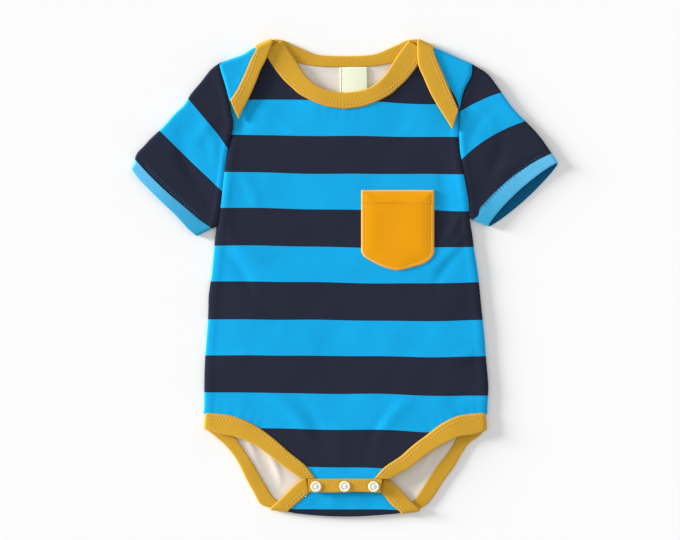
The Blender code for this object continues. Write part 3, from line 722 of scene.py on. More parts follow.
def panel_plan(leg, crotch, end, neck):
    """A panel's plan, and how many points its shoulder has: a patch between the leg curves
    with the crotch between them, the side seams with the armholes, and the top, which is
    straight from the armhole's end to the neck's curve."""
    bottom = np.vstack((mirrored(leg), crotch[1:-1], leg[::-1]))
    side = np.vstack((curve(SIDE_SEAM, SIDE_CELLS), curve(ARMHOLE, ARMHOLE_CELLS)[1:]))
    side[-1] = end
    shoulder = np.linspace(end, neck[0], (len(bottom) + 1) // 2 - len(neck) + 1)
    half = np.vstack((shoulder, neck[1:]))
    top = np.vstack((mirrored(half), half[-2::-1]))
    return with_roll_columns(patch(bottom, top, side)), len(shoulder)


def build_front(settings):
    """The front panel, tucked into its bindings. Its shoulder tabs are cut from the
    chest's navy stripe."""
    leg = leg_curve(LEG_FRONT_EDGE, LEG_FRONT_FREE)
    leg[-1, 1] -= TUCK
    crotch = np.linspace(mirrored(leg[-1]), leg[-1], 2 * FRONT_CROTCH_HALF + 1)
    neck = tucked(*both(FRONT_NECK_EDGE, FRONT_NECK_FREE, FRONT_NECK_CELLS))
    xy, _ = panel_plan(leg, crotch, np.subtract(ARMHOLE[-1], TAB_END_SHORT), neck)
    pattern = cloth_place(xy[..., 0], np.maximum(body_stripes(xy, settings), TAB_STRIPE))
    grid = (raised(xy, front_z(xy)), pattern, False, False)
    return cloth_piece("front_cloth", "jersey_striped", [grid], settings.jersey, "front_panel")


def lap_grid(side, base, settings):
    """A shoulder lap: over the shoulder's fold from its base on the back, and down to its
    tip. Each column runs by the same share between the armhole and the lap's binding."""
    outer, neck_end, _, outward = shoulder_line()
    share = (np.linalg.norm(base - outer, axis=1) / np.linalg.norm(neck_end - outer))[None, :, None]
    armhole = curve(ARMHOLE, LAP_ARMHOLE_CELLS)[:-1]
    armhole = armhole[armhole[:, 1] > LAP_EDGE[side][-1][1]][::-1]
    arm_side = at_share(np.vstack((outer, armhole)), shares(LAP_CELLS))
    neck_side, free_side = lap_lines(side, LAP_CELLS)
    neck_side[1:] = tucked(neck_side, free_side)[1:]
    xy = (1 - share) * arm_side[:, None] + share * neck_side[:, None]
    turn = (side, 1.0)
    lap = folded_over(base * turn, outward * turn, back_z(base, settings.jersey),
                      xy * turn, lap_z(xy, side))
    past = ((base - xy) * outward).sum(-1) + math.pi * (LAP_Z - settings.jersey) / 2
    start = back_stripes(base * turn, settings)
    stripes = stripes_over(start, ARC_CELLS - 1, start - past * outward[1] * LAP_SKEW / settings.pitch)
    return lap, cloth_place(base[:, 0] * side, stripes), False, side > 0.0


def flap_grid(base, settings):
    """The crotch flap: over the crotch's fold from its base on the back, and straight up
    to its end, a little puffed."""
    end = np.linspace(mirrored(FLAP_END), FLAP_END, len(base))
    slope = np.gradient(base[:, 1], base[:, 0])
    outward = unit(np.stack((slope, -np.ones_like(slope)), 1))
    rise = shares(FLAP_CELLS)[:, None, None]
    xy = (1 - rise) * base + rise * end
    puff = 0.25 * np.sin(math.pi * rise[..., 0]) * np.sin(base[:, 0] / 9.0) ** 2
    # the fold's half circles end level, and the puff starts past them
    high = FLAP_Z + puff
    flap = folded_over(base, outward, back_z(base, settings.jersey), xy, high)
    past = xy[..., 1] - base[:, 1].min() + math.pi * (FLAP_Z - settings.jersey) / 2
    middle = back_stripes(base[len(base) // 2], settings)
    stripes = stripes_over(back_stripes(base, settings), ARC_CELLS - 1, middle + past / settings.pitch)
    return flap, cloth_place(base[:, 0], stripes), False, False


def build_back(settings):
    """The back panel: lies on the floor, turns over each shoulder as a lap, and turns
    over the crotch as the flap that carries the lower snaps. Its cloth runs on over the
    folds, so past a fold the stripes count on by the length of cloth. The middle line of
    the crotch's fold is a parabola bowed to the legs."""
    half, end_y = LEG_BACK_EDGE[-1]
    x = np.linspace(-half, half, 2 * BACK_CROTCH_HALF + 1)
    crotch = np.stack((x, CROTCH_FOLD_Y + (end_y - CROTCH_FOLD_Y) * (x / half) ** 2), 1)
    leg = leg_curve(LEG_BACK_EDGE, LEG_BACK_FREE)
    leg[-1] = crotch[-1]
    neck, free = back_neck_lines()
    neck[1:] = tucked(neck, free)[1:]
    xy, shoulder_points = panel_plan(leg, crotch, shoulder_line()[0], neck)
    base = xy[-1, -(shoulder_points + ROLL_CELLS - ROLL_DROPPED):]
    pattern = cloth_place(xy[..., 0], back_stripes(xy, settings))
    grids = [(raised(xy, back_z(xy, settings.jersey)), pattern, False, True),
             lap_grid(1.0, base, settings), lap_grid(-1.0, base, settings), flap_grid(crotch, settings)]
    return cloth_piece("back_cloth", "jersey_striped", grids, settings.jersey, "back_panel")


# ---------------------------------------------------------------- bindings

def flat_stations(edge, free, z, up=1.0):
    """Cross lines of a binding that lies flat, as (sewn edge, free edge, outward)."""
    lines = [raised(line, z(line) if callable(z) else z) for line in (edge, free)]
    return np.stack((*lines, np.broadcast_to((0.0, 0.0, up), lines[0].shape)), 1)


def turned_stations(cross, outward, low, high):
    """Cross lines of a binding that turns over, from its low side to its high side."""
    angle, swell, height = half_turn(low, high)
    points = raised(cross + swell[..., None] * outward, height)
    normal = np.concatenate((np.cos(angle) * outward, np.sin(angle)), 1)
    return np.concatenate((points, normal[:, None]), 1)


def folded_strip(stations, lift):
    """Middle surface of a strip folded in half over an edge. Across it, the outer layer
    runs from the sewn edge to a half-round fold at the free edge, and the inner layer
    runs back. Each layer swells a little between its edges."""
    edge, free, normal = stations[:, 0], stations[:, 1], unit(stations[:, 2])
    width = np.linalg.norm(free - edge, axis=1)[:, None]
    flat = shares(RIB_CELLS - 1)
    angle = np.linspace(0.0, math.pi, 9)[1:-1]
    start = -RIB_OVERLAP * normal[:, 2:] ** 2
    ahead = start + (width - lift - start) * flat
    swell = lift + RIB_PUFF * np.sin(math.pi * flat) ** 0.7
    reach = np.concatenate((ahead, width - lift + lift * np.sin(angle), ahead[:, ::-1]), 1)
    height = np.concatenate((swell, lift * np.cos(angle), -swell[::-1]))
    run = unit(free - edge)[:, None]
    return edge[:, None] + reach[..., None] * run + height[None, :, None] * normal[:, None]


def strip_pattern(grid):
    """Place on a strip's flat cloth, with its length and width: mm along it, mm across
    it, and a mask that is 1 at the outside of its fold, which is used for painted light there."""
    count = grid.shape[1]
    along = line_lengths(grid[:, count // 4])
    steps = np.linalg.norm(np.diff(grid, axis=1), axis=2)
    across = np.concatenate((np.zeros((len(grid), 1)), np.cumsum(steps, 1)), 1)
    mask = hump(np.arange(count) - (count - 1) / 2, 4.0)
    return cloth_place(along[:, None], across, mask), along[-1], across[:, -1].mean()


def build_strip(node, stations, settings, flip=False, snaps=()):
    """A folded binding with its thickness. Its outer layer dips round every snap on
    it."""
    grid = folded_strip(stations, settings.binding / 2 - settings.rib / 2)
    outer = grid[..., 2] > stations[0, 0, 2]
    for centre in snaps:
        gap = np.linalg.norm(grid[..., :2] - centre, axis=-1)
        grid[..., 2] -= outer * SNAP_PULL * hump(gap - SNAP_PULL_AT, 1.6)
    pattern, length, width = strip_pattern(grid)
    piece = cloth_piece(node + "_cloth", "rib_mustard", [(grid, pattern, False, flip)],
                        settings.rib, node)


def stitch_strip(name, stations, settings, insets=BINDING_STITCHES, length=2.3):
    """Rows of stitches along a binding's outer layer, inset from its sewn edge."""
    rows = []
    edge, free, normal = stations[:, 0], stations[:, 1], unit(stations[:, 2])
    run, width = unit(free - edge), np.linalg.norm(free - edge, axis=1)[:, None]
    for inset in insets:
        place = np.clip((inset + RIB_OVERLAP) / (width + RIB_OVERLAP), 0, 1)
        swell = RIB_PUFF * np.sin(math.pi * place) ** 0.7
        rows.append(stitch_row(edge + inset * run + (settings.binding / 2 + swell) * normal, normal))
    add_stitches(name + "_stitches", rows, "thread_light", length)


def leg_stations():
    """The right leg binding: along the front's leg edge from the crotch, round the side,
    down the back's leg edge, over the crotch fold and to the end of the flap."""
    front = flat_stations(*both(LEG_FRONT_EDGE, LEG_FRONT_FREE, LEG_CELLS), front_sheet_z)[::-1]
    back = flat_stations(*both(LEG_BACK_EDGE, LEG_BACK_FREE, LEG_CELLS), BACK_BINDING_Z, -1.0)
    side = turned_stations(back[0, :2, :2], np.array((1.0, 0.0)), BACK_BINDING_Z, FRONT_EDGE_Z)[::-1]
    flap_edge = np.linspace(LEG_BACK_EDGE[-1], FLAP_END, FLAP_CELLS + 1)
    flap = flat_stations(flap_edge, curve(FLAP_FREE, FLAP_CELLS), FLAP_Z)
    line = np.stack((LEG_BACK_EDGE[-1], LEG_BACK_FREE[-1]))
    run = unit(line[1] - line[0])
    crotch = turned_stations(line, np.array((run[1], -run[0])), BACK_BINDING_Z, FLAP_Z)
    return np.concatenate((front[:-1], side, back[1:-1], crotch, flap[1:]))


def back_neck_stations(side):
    """Half of the back's neck binding, drawn on the right, from the back's middle round
    the shoulder and down that side's lap edge to the armhole."""
    _, neck_end, neck_free, outward = shoulder_line()
    lap = flat_stations(*lap_lines(side, LAP_BINDING_CELLS),
                        lambda xy: LAP_BINDING_Z - lap_drop(xy, side))
    back = flat_stations(*back_neck_lines(), BACK_BINDING_Z, -1.0)
    over = turned_stations(np.stack((neck_end, neck_free)), outward, BACK_BINDING_Z, LAP_BINDING_Z)
    return np.concatenate((back[::-1], over[1:-1], lap))


def build_bindings(settings):
    """The bindings of both legs and of the neck's front and back, each with two rows of
    stitches."""
    leg = leg_stations()
    for name, side in (("leg_binding_left", -1.0), ("leg_binding_right", 1.0)):
        stations = leg * (side, 1.0, 1.0)
        build_strip(name, stations, settings, flip=side > 0.0)
        stitch_strip(name, stations[2:-2], settings)
    front = flat_stations(*both(FRONT_NECK_EDGE, FRONT_NECK_FREE, FRONT_NECK_CELLS), front_sheet_z)
    front = np.concatenate((front * (-1.0, 1.0, 1.0), front[-2::-1]))
    left = back_neck_stations(-1.0) * (-1.0, 1.0, 1.0)
    back = np.concatenate((left[::-1], back_neck_stations(1.0)[1:]))
    for name, stations in (("neck_binding_front", front), ("neck_binding_back", back)):
        build_strip(name, stations, settings)
        stitch_strip(name, stations, settings)


# ---------------------------------------------------------------- sleeves

def hem_rows():
    """Rows of a sleeve's cloth from the cuff over the hem's fold and back inside: (mm past
    the cuff's fold, depth below the outside)."""
    angle = np.linspace(0.0, math.pi, HEM_CELLS + 1)[1:]
    fold = np.stack((HEM_TURN * np.sin(angle), HEM_TURN * (1.0 - np.cos(angle))), 1)
    back = -np.linspace(0.0, HEM_DEPTH, HEM_CELLS + 1)[1:]
    inside = np.stack((back, np.full(HEM_CELLS, 2.0 * HEM_TURN)), 1)
    return np.concatenate((fold, inside))


def height_on(grid, places):
    """Height of a fine grid's surface at places in plan: the mean of its four nearest
    points, weighted by 1 / distance squared."""
    points = grid.reshape(-1, 3)
    gap = ((places[:, None] - points[None, :, :2]) ** 2).sum(-1)
    nearby = np.argsort(gap, axis=1)[:, :4]
    weight = 1.0 / (np.take_along_axis(gap, nearby, 1) + 1e-4)
    return (points[nearby, 2] * weight).sum(1) / weight.sum(1)


def round_tube(upper, lower):
    """Rows round a flattened tube: along its upper layer and back along its lower one."""
    return np.concatenate((upper, lower[:, -2:0:-1]), 1)


def build_sleeve(name, settings):
    """A sleeve is a flattened tube. Each row runs round it: the upper layer from the
    head's fold to the underarm, and the lower layer back, with a half-round fold at both
    ends. Rows carry the armhole's bend, which fades towards the cuff. At the cuff the
    cloth turns inside as a hem, whose rows are the cuff's own moved square to it."""
    side, tip, corner, underarm_y, bows, pale, crease_rows, lines = SLEEVES[name]
    wall = settings.jersey
    low, high = back_floor_z(wall), SLEEVE_TOP_Z
    radius, middle = (high - low) / 2, (high + low) / 2
    armhole = curve(ARMHOLE, SLEEVE_CELLS)[::-1] + (ARMHOLE_GAP / 2, 0.0)
    armhole = at_share(armhole[armhole[:, 1] >= underarm_y], shares(SLEEVE_CELLS))
    head_line = curve((*SLEEVE_HEAD, tip), SLEEVE_CELLS) - wall / 2
    underarm_line = np.stack((armhole[-1], np.add(corner, (0.0, wall / 2))))
    cuff_place = 1.0 - HEM_TURN / np.linalg.norm(np.subtract(tip, armhole[0]))
    inner = hem_rows()
    outside, hidden = shares(SLEEVE_ROWS) * cuff_place, np.zeros(SLEEVE_ROWS + 1)
    along = np.concatenate((outside, np.full(len(inner), cuff_place)))
    pushed, depth = (np.concatenate((hidden, column)) for column in inner.T)
    cuff_run = unit(np.subtract(tip, corner))
    cuff_out = np.array((cuff_run[1], -cuff_run[0]))
    angle = shares(ROLL_CELLS) * math.pi / 2
    flat = shares(SLEEVE_FLAT_CELLS)[1:-1]
    across_share = shares(SLEEVE_CELLS)[:, None]
    bend = armhole - (armhole[0] + across_share * (armhole[-1] - armhole[0]))
    swell, rise = radius * (1 - np.cos(angle)), np.sin(angle)
    shape = np.concatenate((rise, np.ones(len(flat)), rise[::-1]))
    # the hem's inner layer lies inside the outer one on every side
    ends = np.concatenate((np.cos(angle), np.zeros(len(flat)), -np.cos(angle[::-1])))
    layers = []
    for lift, bow in zip((1.0, -1.0), bows):
        layer = []
        for place, sunk, push in zip(along, depth, pushed):
            head, underarm = at_share(head_line, place), at_share(underarm_line, place)
            run = unit(underarm - head)
            belly = bow * place ** 4 * np.sin(math.pi * across_share) ** 0.6
            line = (head + across_share * (underarm - head) + (1 - place) * bend
                    + belly * np.array((-run[1], run[0])))
            width = line_lengths(line)[-1]
            share = np.concatenate((swell / width, flat * (1 - 2 * radius / width) + radius / width,
                                    1.0 - swell[::-1] / width))
            xy = at_share(line, share) + (sunk * ends)[:, None] * run + push * cuff_out
            layer.append(raised(xy, middle + lift * (radius - sunk) * shape))
        layers.append(np.array(layer))
    upper, lower = layers
    plan = upper[..., :2]
    across = np.linalg.norm(plan - plan[:, :1], axis=-1)
    width = across[:, -1:]
    from_arm, arm_along = near(plan, ARMHOLE)
    from_cuff, _ = nearest(plan, plan[SLEEVE_ROWS])
    calm = smooth_step(across / 7.0) * smooth_step((width - across) / 7.0) * smooth_step(from_cuff / 9.0)
    outer = depth[:, None] == 0.0
    wrinkle = (creases(plan, crease_rows) + 0.7 * waves(plan) + puckers(from_arm, arm_along, 0.14)
               + SLEEVE_RIDGE[side] * hump(from_arm - 3.6, 2.2)) * calm
    groove = -HEM_GROOVE * hump(from_cuff - np.mean(HEM_STITCHES), 0.9)
    groove = groove * smooth_step(across / 4) * smooth_step((width - across) / 4)
    upper[..., 2] += np.where(outer, wrinkle + groove - SLEEVE_DIP[side] * roll(from_arm), 0.0)
    dents = np.maximum(creases(lower[..., :2], BACK_SLEEVE_CREASES), 0.0) * calm
    lower[..., 2] += np.where(outer, dents + BACK_SEAM_LIFT * roll(from_arm), 0.0)

    tube = round_tube(upper, lower)
    stripes = sleeve_stripes(tube[..., :2], lines, settings.pitch) + 1.0
    inner_rows = depth > HEM_TURN
    stripes[inner_rows] = stripes[~inner_rows][-1] - (depth[inner_rows] > 0)[:, None] * 0.12
    # painted light and shade: the hem's face gets the mask minus this share; 1 gives its painted light,
    # about 0.5 its painted darker blue, from the cuff's tip to its corner
    hem_light_share = pale[0] + (pale[1] - pale[0]) * round_tube(across / width, across / width)
    hem = smooth_step((HEM_DEPTH + 2.0 - round_tube(from_cuff, from_cuff)) / 2.0)
    # painted shade: rows inside the hem get the mask 1, which turns them to the dark teal of the cuff's
    # shadow
    pattern = cloth_place(round_tube(across, 2 * width - across), stripes,
                          np.where(inner_rows[:, None], 1.0, -hem_light_share * hem))
    piece = cloth_piece(name + "_cloth", "jersey_striped",
                        [(tube * (side, 1.0, 1.0), pattern, True, side < 0.0)], wall, name)

    face = upper[:SLEEVE_ROWS + 1]
    rows = []
    for gap in HEM_STITCHES:
        places = face[-1, ROLL_CELLS + 4:-ROLL_CELLS - 4, :2] - gap * cuff_out
        line = raised(places, height_on(face, places) + wall / 2 - 0.05)
        rows.append(stitch_row(line * (side, 1.0, 1.0), pitch=3.0))
    add_stitches(name + "_hem_stitches", rows, "thread_blue")
    return piece


# ---------------------------------------------------------------- pocket, label, snaps, plackets

def pocket_outline(across, up, low, high):
    """Points of the pocket: straight at the top and sides, and a soft shield below whose
    height above its point grows as the share across to the power of 1.6."""
    side = np.abs(2.0 * across - 1.0)
    foot = low[1] + POCKET_FOOT_RISE * side ** POCKET_ROUNDNESS
    foot = foot + POCKET_FOOT_CUT * np.clip((side - 0.88) / 0.12, 0.0, 1.0) ** 2
    x, y = np.broadcast_arrays(low[0] + (high[0] - low[0]) * across, foot + (high[1] - foot) * up)
    return np.stack((x, y), -1)


def eased(cells, ends=0.55):
    """Shares from 0 to 1 that lie closer together near both ends."""
    t = shares(cells)
    return (1 - ends) * t + ends * 0.5 * (1 - np.cos(math.pi * t))


def rim(grid):
    """The points round a grid's edge."""
    return np.concatenate((grid[0], grid[1:, -1], grid[-1, -2::-1], grid[-2:0:-1, 0]))


def pocket_face_z(xy, edge, settings):
    """Height of the pocket's face inside its turned edge, which is sunk along its stitches,
    and the distance from the edge."""
    distance, _ = nearest(xy, edge)
    z = front_z(xy) + settings.jersey / 2 + settings.pocket / 2 + POCKET_GAP
    z += POCKET_PUFF * smooth_step(distance / 12.0) - POCKET_GROOVE * hump(distance - 2.3, 0.8)
    return z, distance


def build_pocket(settings):
    """The chest pocket: a rounded cushion of folded cloth, laid on the front. Its edge
    turns down to the front all round and its top has a wider folded hem."""
    low, high = (corner[:2] + inset for corner, inset in zip(box_mm("chest_pocket"), (0.2, -0.2)))
    xy = pocket_outline(eased(POCKET_ACROSS)[None], eased(POCKET_UP)[:, None], low, high)
    outline = rim(xy)
    edge = np.vstack((outline, outline[:1]))[::2]
    face_z, distance = pocket_face_z(xy, edge, settings)
    from_top = high[1] - xy[..., 1]
    z = (face_z + POCKET_EDGE_ROLL * smooth_step(distance / 0.9)
         + 0.12 * np.sin(xy[..., 0] / 9.0 + 1.0) * smooth_step(distance / 8.0)
         + 0.28 * smooth_step((11.5 - from_top) / 1.2)
         + 0.45 * np.exp(-from_top / 5.0) * smooth_step(distance / 6.0))
    grid = raised(xy, z)
    # the turned edge: more rows all round, down to the front and under the pocket
    turned = rim(grid)
    outward = unit(outline - xy.mean((0, 1)))
    skirt = np.array([raised(outline + reach * outward, turned[:, 2] - drop) for reach, drop in
                      ((0.0, 0.0), (0.16, 0.12), (0.22, 0.34), (0.05, 0.52), (-0.5, 0.56), (-3.0, 0.56))])
    # the mask is 1 on the turned edge and fades over 2.2 mm onto the face: it carries the pocket's
    # painted light
    grids = [(points, cloth_place(points[..., 0], -points[..., 1] / settings.pitch, mask), closed, closed)
             for points, mask, closed in ((grid, np.clip(1.0 - distance / 2.2, 0.0, 1.0), False),
                                          (skirt, 1.0, True))]
    piece = cloth_piece("pocket_cloth", "jersey_mustard", grids, POCKET_WALL, "chest_pocket")

    inner = (low + POCKET_STITCH_INSET, high - POCKET_STITCH_INSET)
    down = np.linspace(1.0, 0.0, 40)
    line = np.vstack((pocket_outline(np.zeros(40), down, *inner),
                      pocket_outline(shares(89), np.zeros(90), *inner)[1:],
                      pocket_outline(np.ones(40), down[::-1], *inner)[1:]))
    hem_line = np.stack((np.linspace(low[0] + 2.4, high[0] - 2.4, 60), np.full(60, high[1] - 10.2)), 1)
    rows = []
    for path, lift in ((line, 0.12), (hem_line, 0.47)):
        height = pocket_face_z(path, edge, settings)[0] + POCKET_EDGE_ROLL + lift
        rows.append(stitch_row(raised(path, height), pitch=2.7))
    add_stitches("pocket_stitches", rows, "thread_mustard", length=2.1)
    return piece


def build_label():
    """The bare neck label: a smooth tape, gently arched across."""
    low, high = box_mm("neck_label")
    across, along = shares(LABEL_ACROSS)[None], shares(LABEL_UP)[:, None]
    x = low[0] + (high[0] - low[0]) * across + 0.25 * np.sin(math.pi * along)
    y = np.broadcast_to(low[1] + (high[1] - low[1]) * along, x.shape)
    arch = 0.35 * np.sin(math.pi * across) ** 0.8 + 0.15 * np.sin(4.2 * along + 2.0 * across)
    edge = np.minimum(across, 1.0 - across) * (high[0] - low[0])
    mask = np.clip(1.0 - np.abs(edge - 0.8) / 0.8, 0.0, 1.0)
    grid = np.stack((x, y, low[2] + 0.45 + arch), -1)
    piece = cloth_piece("label_tape", "label_cream", [(grid, cloth_place(x, y, mask), False, False)],
                        LABEL_WALL, "neck_label")
    rows = [stitch_row(grid[2:-1, column] + (0.0, 0.0, 0.24), pitch=2.0)
            for column in (1, LABEL_ACROSS - 1)]
    add_stitches("label_stitches", rows, "thread_dark", length=1.7)
    return piece


def build_plackets(settings):
    """The two folded rib bands that carry the snaps. Each dips round every snap."""
    low, high = box_mm("placket_front")
    snaps = [(np.add(*box_mm(f"snap_cap_{n}")) / 2)[:2] - (0.0, SNAP_DROP) for n in SNAP_NUMBERS]
    x = np.linspace(low[0], high[0], PLACKET_POINTS)
    for node, z in (("placket_front", PLACKET_MIDDLE_Z), ("placket_back", FLAP_Z)):
        top_x, bottom_x = (x * (end[0] - PLACKET_GAP) / high[0] for end in (FLAP_FREE[-1], FLAP_END))
        edge = np.stack((top_x, np.full_like(x, high[1])), 1)
        free = np.stack((bottom_x, low[1] + 0.25 * np.sin(x / 7.0)), 1)
        stations = flat_stations(edge, free, z)
        build_strip(node, stations, settings, snaps=snaps)
        if node == "placket_front":
            stitch_strip("placket", stations[4:-4], settings, insets=(0.9,), length=2.1)


# Rings of the snaps' round solids, as (share of the radius, share of the height)
CAP_PROFILE = ((0, 0), (0.62, 0), (0.93, 0.10), (1, 0.38), (0.97, 0.62), (0.90, 0.80), (0.80, 0.88),
               (0.70, 0.84), (0.62, 0.66), (0.55, 0.52), (0.47, 0.50), (0.42, 0.60), (0.36, 0.82),
               (0.27, 0.94), (0.14, 1), (0, 1))
STUD_PROFILE = ((0, 0), (0.80, 0), (0.97, 0.14), (1, 0.45), (0.94, 0.85), (0.80, 1), (0.55, 0.92),
                (0.40, 0.92), (0, 1))


def build_snaps():
    """Snap caps with a rounded rim, a sunk ring and a low dome, and their studs below."""
    angle = np.linspace(0.0, 2 * math.pi, SNAP_SIDES, endpoint=False)
    for number in SNAP_NUMBERS:
        for node, profile, sink in ((f"snap_cap_{number}", CAP_PROFILE, CAP_SINK),
                                    (f"snap_stud_{number}", STUD_PROFILE, 0.0)):
            low, high = box_mm(node)
            centre, size = (low + high) / 2, (high - low) / 2
            radius, height = np.asarray(profile, float).T[:, :, None]
            solid = np.stack((radius * size[0] * np.cos(angle) + centre[0],
                              radius * size[1] * np.sin(angle) + centre[1] - SNAP_DROP,
                              height * 2 * size[2] + low[2] - sink + 0.0 * angle), -1)
            piece = join_grids(node + "_moulded", [(solid, (0.0, 0.0, 0.0), True, False)], ["snap_white"])
            finish_piece(piece, "snap_white", node)


# ---------------------------------------------------------------- materials

def joined(tree, socket, value):
    """Feed a node's input from another socket, or set it to a plain value."""
    if isinstance(value, bpy.types.NodeSocket):
        tree.links.new(value, socket)
    else:
        socket.default_value = value


def made_node(tree, kind, values, output=0, **settings):
    """An output of a new node whose inputs, by name or number, get the given values."""
    node = tree.nodes.new(kind)
    for name, setting in settings.items():
        setattr(node, name, setting)
    for key, value in values.items() if isinstance(values, dict) else enumerate(values):
        joined(tree, node.inputs[key], value)
    return node.outputs[output]


def maths(tree, operation, *values):
    """A sum, product or function of values."""
    return made_node(tree, 'ShaderNodeMath', values, operation=operation)


def mixed(tree, share, low, high, blend='MIX'):
    """A colour share of the way from low to high, or low blended with high."""
    return made_node(tree, 'ShaderNodeMix', {'Factor': share, 6: low, 7: high}, 2, data_type='RGBA',
                     blend_type=blend)


def mapped(tree, value, low, high, to_low, to_high):
    """A value moved smoothly from one range to another."""
    return made_node(tree, 'ShaderNodeMapRange', (value, low, high, to_low, to_high),
                     interpolation_type='SMOOTHSTEP')


def noise(tree, scale, detail):
    """Noise on the garment's own place in space."""
    place = tree.nodes.new('ShaderNodeTexCoord').outputs['Object']
    values = {'Vector': place, 'Scale': scale, 'Detail': detail}
    return made_node(tree, 'ShaderNodeTexNoise', values, 'Fac')


def cloth_axes(tree):
    """Sockets of the cloth attribute: mm across, stripes down (or mm across a strip), mask."""
    place = made_node(tree, 'ShaderNodeAttribute', (), 'Vector', attribute_name="cloth")
    axes = tree.nodes.new('ShaderNodeSeparateXYZ')
    tree.links.new(place, axes.inputs[0])
    return axes.outputs


def knit_face(tree, given, out):
    """Plain knit seen from its face: columns of stacked V stitches. Across a column each
    leg of the V swells as a cosine, and the legs climb by a phase that grows outwards."""
    column = maths(tree, 'FRACT', maths(tree, 'DIVIDE', given["Across mm"], given["Column mm"]))
    off = maths(tree, 'ABSOLUTE', maths(tree, 'SUBTRACT', column, 0.5))
    swell = maths(tree, 'COSINE', maths(tree, 'MULTIPLY', off, 4 * math.pi))
    leg = maths(tree, 'SUBTRACT', 0.5, maths(tree, 'MULTIPLY', 0.5, swell))
    climb = maths(tree, 'ADD', maths(tree, 'DIVIDE', given["Down mm"], given["Row mm"]), off)
    loop = maths(tree, 'COSINE', maths(tree, 'MULTIPLY', climb, 2 * math.pi))
    height = maths(tree, 'MULTIPLY', leg, maths(tree, 'MULTIPLY_ADD', loop, 0.25, 0.75))
    joined(tree, out["Height"], height)
    # painted shade: the colour is darkened in the grooves between the stitches
    joined(tree, out["Shade"], mapped(tree, height, 0.0, 0.6, 0.9, 1.04))


def cloth_mottle(tree, given, out):
    """Uneven dye and nap: a broad and a fine noise as a shade close to 1."""
    broad = maths(tree, 'SUBTRACT', noise(tree, 38.0, 3.0), 0.5)
    fine = maths(tree, 'SUBTRACT', noise(tree, 900.0, 2.0), 0.5)
    total = maths(tree, 'ADD', maths(tree, 'MULTIPLY', broad, 1.4), fine)
    joined(tree, out["Shade"], maths(tree, 'MULTIPLY_ADD', total, given["Amount"], 1.0))
    joined(tree, out["Height"], maths(tree, 'ADD', broad, maths(tree, 'MULTIPLY', fine, 0.3)))


def rib_face(tree, given, out):
    """One-by-one rib: rounded columns side by side along the strip, with fine loops."""
    column = maths(tree, 'SINE', maths(tree, 'MULTIPLY', given["Along mm"], math.pi / RIB_COLUMN))
    column = maths(tree, 'ABSOLUTE', column)
    loop = maths(tree, 'SINE', maths(tree, 'MULTIPLY', given["Across mm"], 2 * math.pi / RIB_ROW))
    joined(tree, out["Height"], maths(tree, 'MULTIPLY_ADD', loop, 0.12, column))
    # painted shade: the colour is darkened in the valleys between the rib's columns
    joined(tree, out["Shade"], mapped(tree, column, 0.0, 0.5, 0.86, 1.02))


# Each node group: what fills it, its inputs and its outputs
NODE_GROUPS = {
    "Knit face": (knit_face, ("Across mm", "Down mm", "Column mm", "Row mm"), ("Height", "Shade")),
    "Cloth mottle": (cloth_mottle, ("Amount",), ("Shade", "Height")),
    "Rib face": (rib_face, ("Along mm", "Across mm"), ("Height", "Shade")),
}


def use_group(tree, name, **values):
    """The outputs of a node group, which is made on first use, with its inputs set by
    name ('_' for a space)."""
    group = bpy.data.node_groups.get(name)
    if group is None:
        fill, inputs, outputs = NODE_GROUPS[name]
        group = bpy.data.node_groups.new(name, 'ShaderNodeTree')
        for way, labels in (('INPUT', inputs), ('OUTPUT', outputs)):
            for label in labels:
                group.interface.new_socket(label, in_out=way, socket_type='NodeSocketFloat')
        fill(group, group.nodes.new('NodeGroupInput').outputs, group.nodes.new('NodeGroupOutput').inputs)
    node = tree.nodes.new('ShaderNodeGroup')
    node.node_tree = group
    for label, value in values.items():
        joined(tree, node.inputs[label.replace('_', ' ')], value)
    return node.outputs


def knitted(tree):
    """The face of plain knit on the flat cloth, with the cloth's stripes and mask."""
    across, down, mask = cloth_axes(tree)
    pitch = bpy.context.scene.romper_cloth.stripe_pitch / MM
    knit = use_group(tree, "Knit face", Across_mm=across, Down_mm=maths(tree, 'MULTIPLY', down, pitch),
                     Column_mm=KNIT_COLUMN, Row_mm=KNIT_ROW)
    return knit, down, mask


def shaded(tree, colour, *shades):
    """A colour times each of the shades."""
    for shade in shades:
        grey = made_node(tree, 'ShaderNodeCombineColor', (shade, shade, shade))
        colour = mixed(tree, 1.0, colour, grey, 'MULTIPLY')
    return colour


def finish_shader(tree, colour, height=None, depth=0.1, strength=0.5):
    """Join a colour and a bump height, in mm of depth, to the material's shader."""
    shader = tree.nodes["Principled BSDF"]
    joined(tree, shader.inputs['Base Color'], colour)
    if height is not None:
        values = {'Strength': strength, 'Distance': depth * MM, 'Height': height}
        joined(tree, shader.inputs['Normal'], made_node(tree, 'ShaderNodeBump', values))


